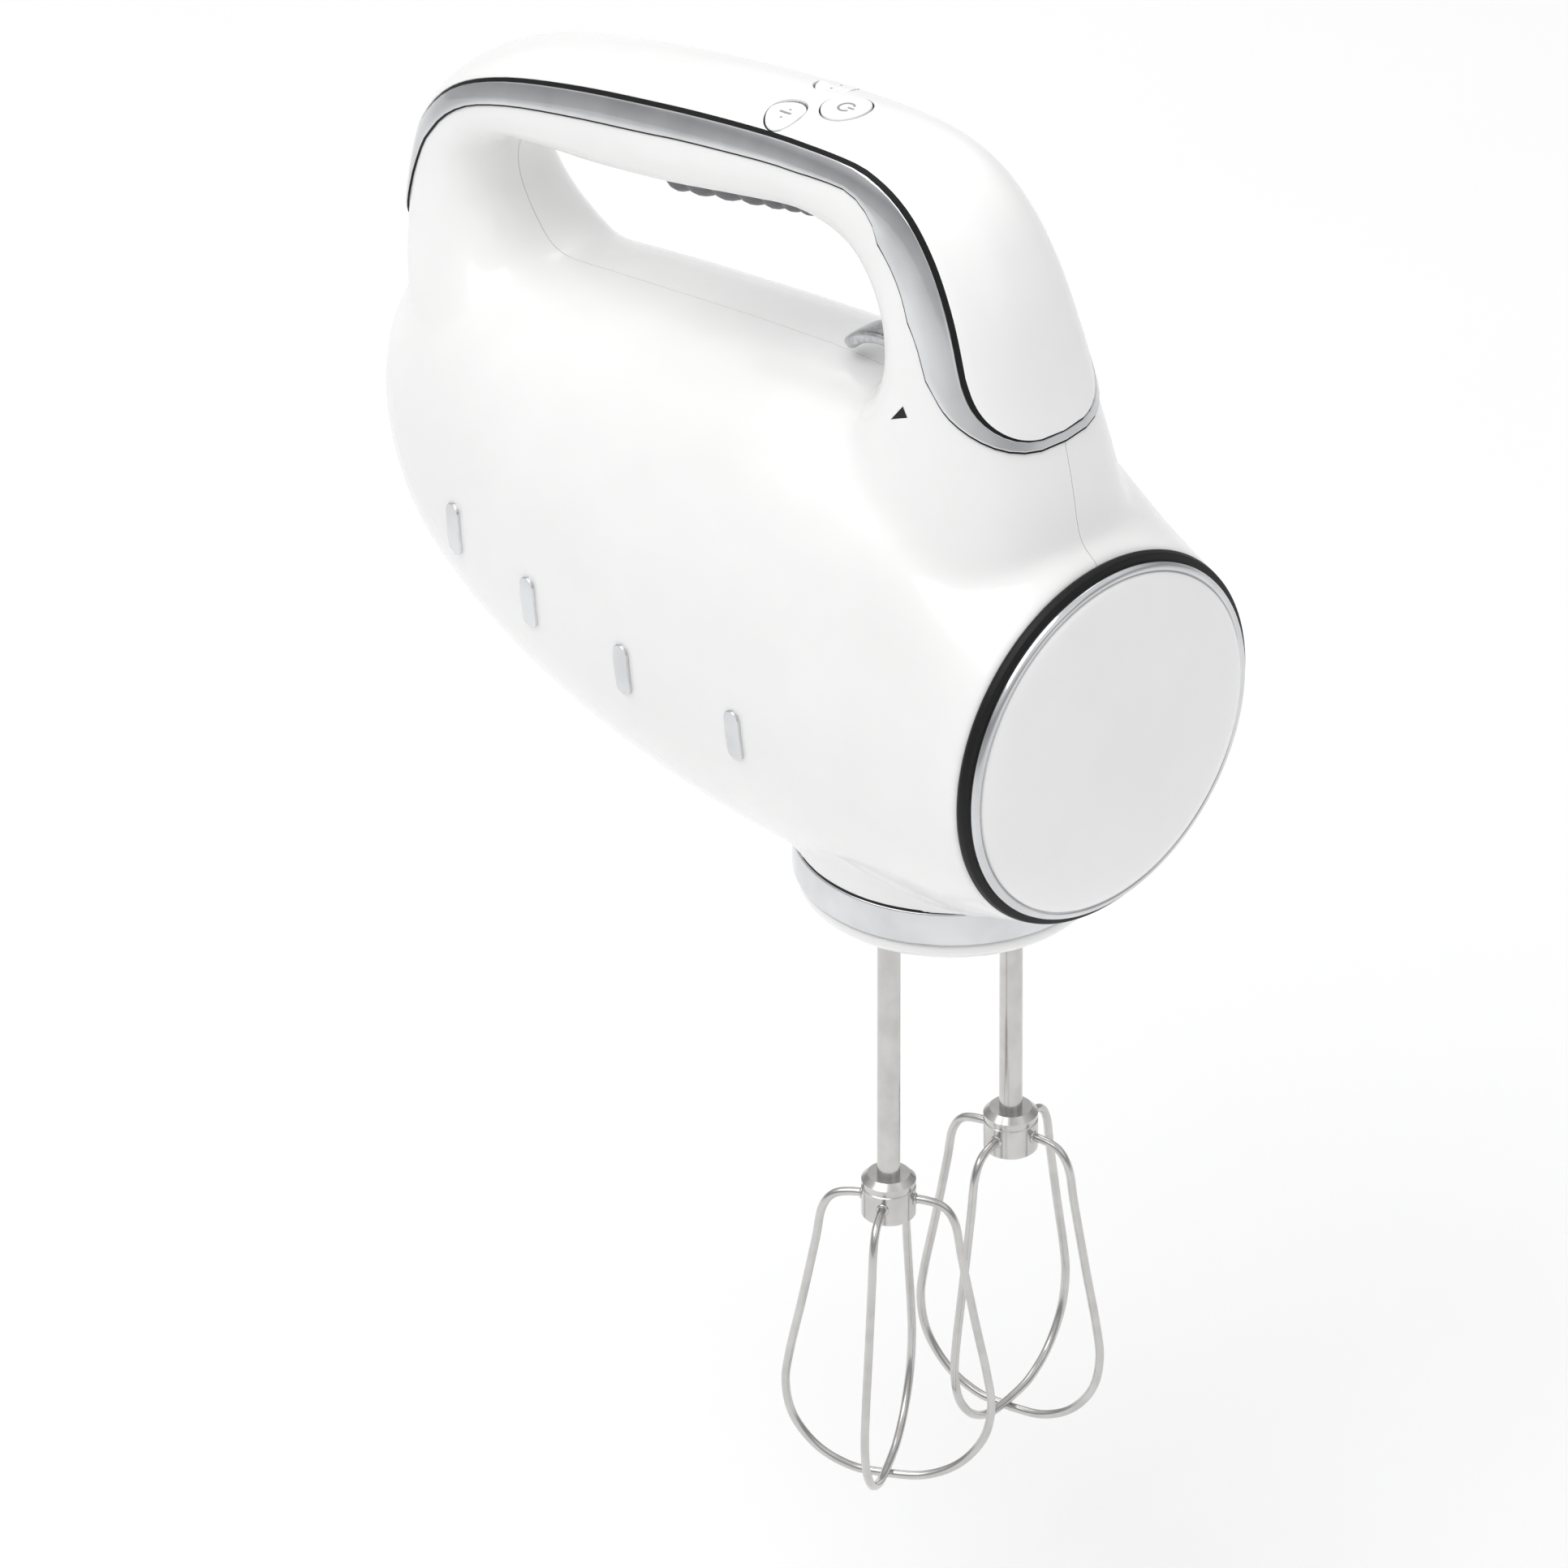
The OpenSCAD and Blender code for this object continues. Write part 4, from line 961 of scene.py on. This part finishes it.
class MIXER_OT_front(bpy.types.Operator):
    """Make the dark seal, bright ring and domed cap at the front"""
    bl_idname = "mixer.front"
    bl_label = "Front cap"

    def execute(self, context):
        heart = at(FRONT_X, 0, AXIS_Z)
        # Outlines as millimetres inwards from the front's radius and forwards from its plane.
        seal = [(8, -0.5), (0.5, -0.5), (0.1, 0.4), (0.5, 1.8), (2.2, 2.2), (3, 1.4), (8, 1.4)]
        bezel = [(7, 1.6), (2.15, 1.6), (2.1, 3.0), (2.7, 3.9), (3.7, 4.1), (4.4, 3.4), (7, 3.0)]
        for name, outline, finish, node, corner in (
                ("front_seal", seal, "black_seal", "front_gasket", 0.3),
                ("front_bezel", bezel, "chrome_plate", "front_ring", 0.5)):
            profile = [((FRONT_R - inwards) * MM, out * MM) for inwards, out in outline + outline[:1]]
            bm = bmesh.new()
            lathe(bm, round_corners(profile, corner * MM), heart, (1, 0, 0), 160)
            piece(name, bm, finish, [node], smooth=50)
        edge, low, rim = (FRONT_R - 4.35) * MM, 2.4 * MM, 3.9 * MM
        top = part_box("front_cap")[1].x - heart.x
        dome = [(0, low), (edge, low), (edge, rim)]
        steps = 18
        for k in range(steps + 1):
            a = pi / 2 * k / steps
            dome.append((edge * cos(a) ** 0.92, rim + (top - rim) * sin(a) ** 1.15))
        bm = bmesh.new()
        lathe(bm, dome, heart, (1, 0, 0), 160)
        piece("front_dome", bm, "white_plastic", ["front_cap"], smooth=40)
        return {"FINISHED"}


class MIXER_OT_base(bpy.types.Operator):
    """Make the bright collar and the white cap that the beaters come out of"""
    bl_idname = "mixer.base"
    bl_label = "Base"

    def execute(self, context):
        low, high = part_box("base_collar")
        r, z0, z1 = round_radius("base_collar"), low.z - BASE.z, high.z - BASE.z
        collar = [(r - 6 * MM, z0 + 0.2 * MM), (r - 0.9 * MM, z0 + 0.2 * MM), (r, z0 + 1.2 * MM), (r, z1),
                  (r - 6 * MM, z1)]
        bm = bmesh.new()
        lathe(bm, round_corners(collar + collar[:1], 0.5 * MM), BASE, UP, 160)
        piece("collar_ring", bm, "chrome_plate", ["base_collar"], smooth=50)
        # A black ring over the collar: a dark line of painted shade in the gap between the collar's top and the
        # housing.
        inner, outer, under, over = r - 4 * MM, r - 0.35 * MM, z1 - 0.5 * MM, z1 + 0.6 * MM
        bm = bmesh.new()
        line = [(inner, under), (outer, under), (outer, over), (inner, over), (inner, under)]
        lathe(bm, line, BASE, UP, 160)
        piece("collar_joint", bm, "black_seal")
        cap_r, cap_top = r - 1.1 * MM, z0 + 0.1 * MM
        cap = [(0, cap_top), (cap_r, cap_top), (cap_r, 2.6 * MM), (cap_r - 2.6 * MM, 0), (0, 0)]
        bm = bmesh.new()
        lathe(bm, round_corners(cap, 2.2 * MM, 6), BASE, UP, 160)
        dish = piece("base_dish", bm, "white_plastic", ["base_cap"], smooth=40)
        bm = bmesh.new()
        hole, deep = 6.1 * MM, 3.2 * MM
        for name in ("left_beater_hub", "right_beater_hub"):
            spot = Vector((middle(name).x, middle(name).y, BASE.z))
            lathe(bm, [(0, -3 * MM), (hole, -3 * MM), (hole, deep), (0, deep)], spot, UP, 64)
        cut_with(dish, loose_mesh("socket_cutters", bm), smooth=40)
        return {"FINISHED"}


# ------------------------------------------------------------------ beaters

# Half a wire loop in shares of the cage's radius and height.
LOOP = [(0.14, 0), (0.36, 0), (0.54, -0.018), (0.65, -0.075), (0.71, -0.19), (0.84, -0.41),
        (0.96, -0.6), (1, -0.72), (0.92, -0.835), (0.68, -0.935), (0.35, -0.99), (0, -1)]


class MIXER_OT_beaters(bpy.types.Operator):
    """Make the two wire beaters"""
    bl_idname = "mixer.beaters"
    bl_label = "Beaters"

    def execute(self, context):
        for side in ("left", "right"):
            centre = middle(side + "_beater_hub")
            self.hub(side, centre)
            self.rod(side, centre)
            for part in ("outer", "inner"):
                self.wire(context.scene.mixer_look, side, part, centre)
        return {"FINISHED"}

    def hub(self, side, centre):
        """A turned hub with a groove round it."""
        low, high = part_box(side + "_beater_hub")
        r, tall, bore, groove = round_radius(side + "_beater_hub"), high.z - low.z, 2.7 * MM, 0.25 * MM
        hub = [(bore, tall), (r * 0.78, tall), (r, tall - 1.4 * MM), (r, tall - 2.6 * MM),
               (r - groove, tall - 2.8 * MM), (r - groove, tall - 3.2 * MM), (r, tall - 3.4 * MM),
               (r, 0.4 * MM), (r - 0.4 * MM, 0), (bore, 0), (bore, tall)]
        bm = bmesh.new()
        lathe(bm, hub, Vector((centre.x, centre.y, low.z)), UP, 72)
        piece(side + "_hub", bm, "stainless", [side + "_beater_hub"], body=side + "_beater")

    def rod(self, side, centre):
        """The shaft, chamfered at both ends."""
        low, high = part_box(side + "_beater_shaft")
        tall, r = high.z - low.z, 2.7 * MM
        rod = [(0, 0), (r - 0.4 * MM, 0), (r, 0.4 * MM), (r, tall - 1.2 * MM), (r - 0.9 * MM, tall),
               (0, tall)]
        bm = bmesh.new()
        lathe(bm, rod, Vector((centre.x, centre.y, low.z)), UP, 48)
        piece(side + "_rod", bm, "stainless", [side + "_beater_shaft"], body=side + "_beater")

    def wire(self, look, side, part, centre):
        """One wire loop, turned and sized as its frame solid is."""
        node = frame["nodes"][f"{side}_wire_{part}"]
        low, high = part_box(node.name)
        # The widest vertex gives the loop's turn.
        far = max((v.co for v in node.data.vertices), key=lambda c: (c.xy - centre.xy).length)
        turn = Vector((far.x - centre.x, far.y - centre.y, 0)).normalized()
        reach = (far.xy - centre.xy).length - look.wire_radius
        top, bottom = high.z - look.wire_radius, low.z + look.wire_radius
        steps = 8
        half = [along(LOOP, i / steps) for i in range((len(LOOP) - 1) * steps + 1)]
        full = half + [(-p[0], p[1]) for p in reversed(half[:-1])]
        curve = bpy.data.curves.new(f"{side}_{part}_path", "CURVE")
        curve.dimensions = "3D"
        spline = curve.splines.new("POLY")
        spline.points.add(len(full) - 1)
        for point, (r, h) in zip(spline.points, full):
            place = centre + turn * r * reach
            point.co = (place.x, place.y, top + h * (top - bottom), 1)
        curve.bevel_depth = look.wire_radius
        curve.bevel_resolution = 4
        curve.use_fill_caps = True
        tube = bpy.data.objects.new(f"{side}_{part}_path", curve)
        bpy.context.scene.collection.objects.link(tube)
        mesh = bpy.data.meshes.new_from_object(tube.evaluated_get(bpy.context.evaluated_depsgraph_get()))
        bpy.data.objects.remove(tube)
        bm = bmesh.new()
        bm.from_mesh(mesh)
        bpy.data.meshes.remove(mesh)
        # A pressed collar where each end enters the hub.
        ring = [(0, 0), (1.5 * MM, 0), (1.5 * MM, 0.25 * MM), (1.2 * MM, 0.5 * MM), (0, 0.5 * MM)]
        for way in (1, -1):
            out = turn * way
            spot = Vector((centre.x, centre.y, top)) + out * (round_radius(side + "_beater_hub") - 0.15 * MM)
            lathe(bm, ring, spot, out, 24)
        piece(f"{side}_{part}_loop", bm, "stainless", [node.name], body=side + "_beater", smooth=60)


# ------------------------------------------------------------------ hidden pieces and stage

class MIXER_OT_inside(bpy.types.Operator):
    """Give every piece inside the mixer its own material"""
    bl_idname = "mixer.inside"
    bl_label = "Inner pieces"

    def execute(self, context):
        for row in frame["record"]["subparts"]:
            obj = frame["nodes"][row["node"]]
            obj.data.materials.clear()
            obj.data.materials.append(paint(row["material_slot"]))
        return {"FINISHED"}


class MIXER_OT_stage(bpy.types.Operator):
    """Make the floor, the lights and the camera"""
    bl_idname = "mixer.stage"
    bl_label = "Stage"

    # Room under the beaters, so that they stay above the floor when they are pulled out.
    floor_gap = 60 * MM
    # Each light's azimuth and rise in degrees, its size in metres and its share of the key's power.
    lamps = {"key": (-95, 64, 1.1, 1.1), "front": (5, 30, 0.7, 0.06), "rear": (150, 55, 0.8, 0.3)}
    lamp_distance = 1.3
    # Millimetres, for a 36 mm sensor.
    lens = 1196

    def execute(self, context):
        self.camera(context)
        self.paper()
        self.lights(context)
        self.room(context)
        context.scene.view_settings.view_transform = "Standard"
        return {"FINISHED"}

    def paper(self):
        """White studio paper, matt and almost even."""
        bm = bmesh.new()
        bmesh.ops.create_grid(bm, x_segments=1, y_segments=1, size=4)
        bmesh.ops.translate(bm, vec=(0, 0, cad_low[2] - self.floor_gap), verts=bm.verts)
        sheet = loose_mesh("floor", bm)
        sheet.data.materials.append(plain("pale_studio_paper", {}, 0.4, ("#FBFBFB", "#FDFDFD"), 0.7))

    def camera(self, context):
        """A long lens from far off, so that the view is nearly parallel."""
        distance = 12.0
        forward, right, up = view_axes()
        # The middle of the view is left of and above the middle of the base.
        target = BASE + right * -38.3 * MM + up * 22.6 * MM
        data = bpy.data.cameras.new("camera")
        data.sensor_width = 36
        data.lens = self.lens
        data.clip_end = 30
        obj = bpy.data.objects.new("camera", data)
        context.scene.collection.objects.link(obj)
        obj.location = target - forward * distance
        obj.rotation_euler = forward.to_track_quat("-Z", "Y").to_euler()
        context.scene.camera = obj

    def lights(self, context):
        """Soft square lights that face the middle of the body."""
        heart = at(-55, 0, 100)
        for name, (azimuth, rise, size, share) in self.lamps.items():
            data = bpy.data.lights.new(name, "AREA")
            data.shape = "SQUARE"
            data.size = size
            data.energy = context.scene.mixer_look.key_power * share
            obj = bpy.data.objects.new(name, data)
            context.scene.collection.objects.link(obj)
            a, e = radians(azimuth), radians(rise)
            way = Vector((cos(a) * cos(e), sin(a) * cos(e), sin(e)))
            obj.location = heart + way * self.lamp_distance
            obj.rotation_euler = (-way).to_track_quat("-Z", "Y").to_euler()

    def room(self, context):
        """Light from all round, by the height of the view direction: dim walls and a bright ceiling."""
        world = bpy.data.worlds.new("soft_room")
        context.scene.world = world
        world.use_nodes = True
        tree = world.node_tree
        tree.nodes.clear()
        where = add(tree, "ShaderNodeTexCoord")
        split = add(tree, "ShaderNodeSeparateXYZ", None, {"Vector": where.outputs["Generated"]})
        ramp = add(tree, "ShaderNodeValToRGB", None, {"Fac": split.outputs["Z"]})
        stops = ramp.color_ramp.elements
        stops[0].position, stops[0].color = 0.0, linear("#C4C4C5")
        stops[1].position, stops[1].color = 0.75, linear("#F4F4F4")
        for height, tone in ((0.3, "#A8A8AA"), (0.5, "#D2D2D3")):
            stops.new(height).color = linear(tone)
        back = add(tree, "ShaderNodeBackground", {"Strength": 1.0}, {"Color": ramp.outputs["Color"]})
        add(tree, "ShaderNodeOutputWorld", None, {"Surface": back.outputs["Background"]})


class MIXER_PT_panel(bpy.types.Panel):
    """Lists the steps that build the mixer's looks"""
    bl_label = "Hand mixer"
    bl_idname = "MIXER_PT_panel"
    bl_space_type = "VIEW_3D"
    bl_region_type = "UI"
    bl_category = "Mixer"

    def draw(self, context):
        for key in MixerLook.__annotations__:
            self.layout.prop(context.scene.mixer_look, key)
        for step in STEPS:
            self.layout.operator(step.bl_idname)


STEPS = (MIXER_OT_stage, MIXER_OT_inside, MIXER_OT_housing, MIXER_OT_cover, MIXER_OT_buttons, MIXER_OT_grip,
         MIXER_OT_lever, MIXER_OT_marks, MIXER_OT_front, MIXER_OT_base, MIXER_OT_beaters)


def register():
    """Makes the classes and the settings known."""
    for cls in (MixerLook,) + STEPS + (MIXER_PT_panel,):
        bpy.utils.register_class(cls)
    bpy.types.Scene.mixer_look = bpy.props.PointerProperty(type=MixerLook)


def unregister():
    """Takes them away again."""
    del bpy.types.Scene.mixer_look
    for cls in reversed((MixerLook,) + STEPS + (MIXER_PT_panel,)):
        bpy.utils.unregister_class(cls)


def main():
    """Builds everything in order."""
    register()
    for step in STEPS:
        group, name = step.bl_idname.split(".")
        getattr(getattr(bpy.ops, group), name)()


if __name__ == "__main__":
    main()
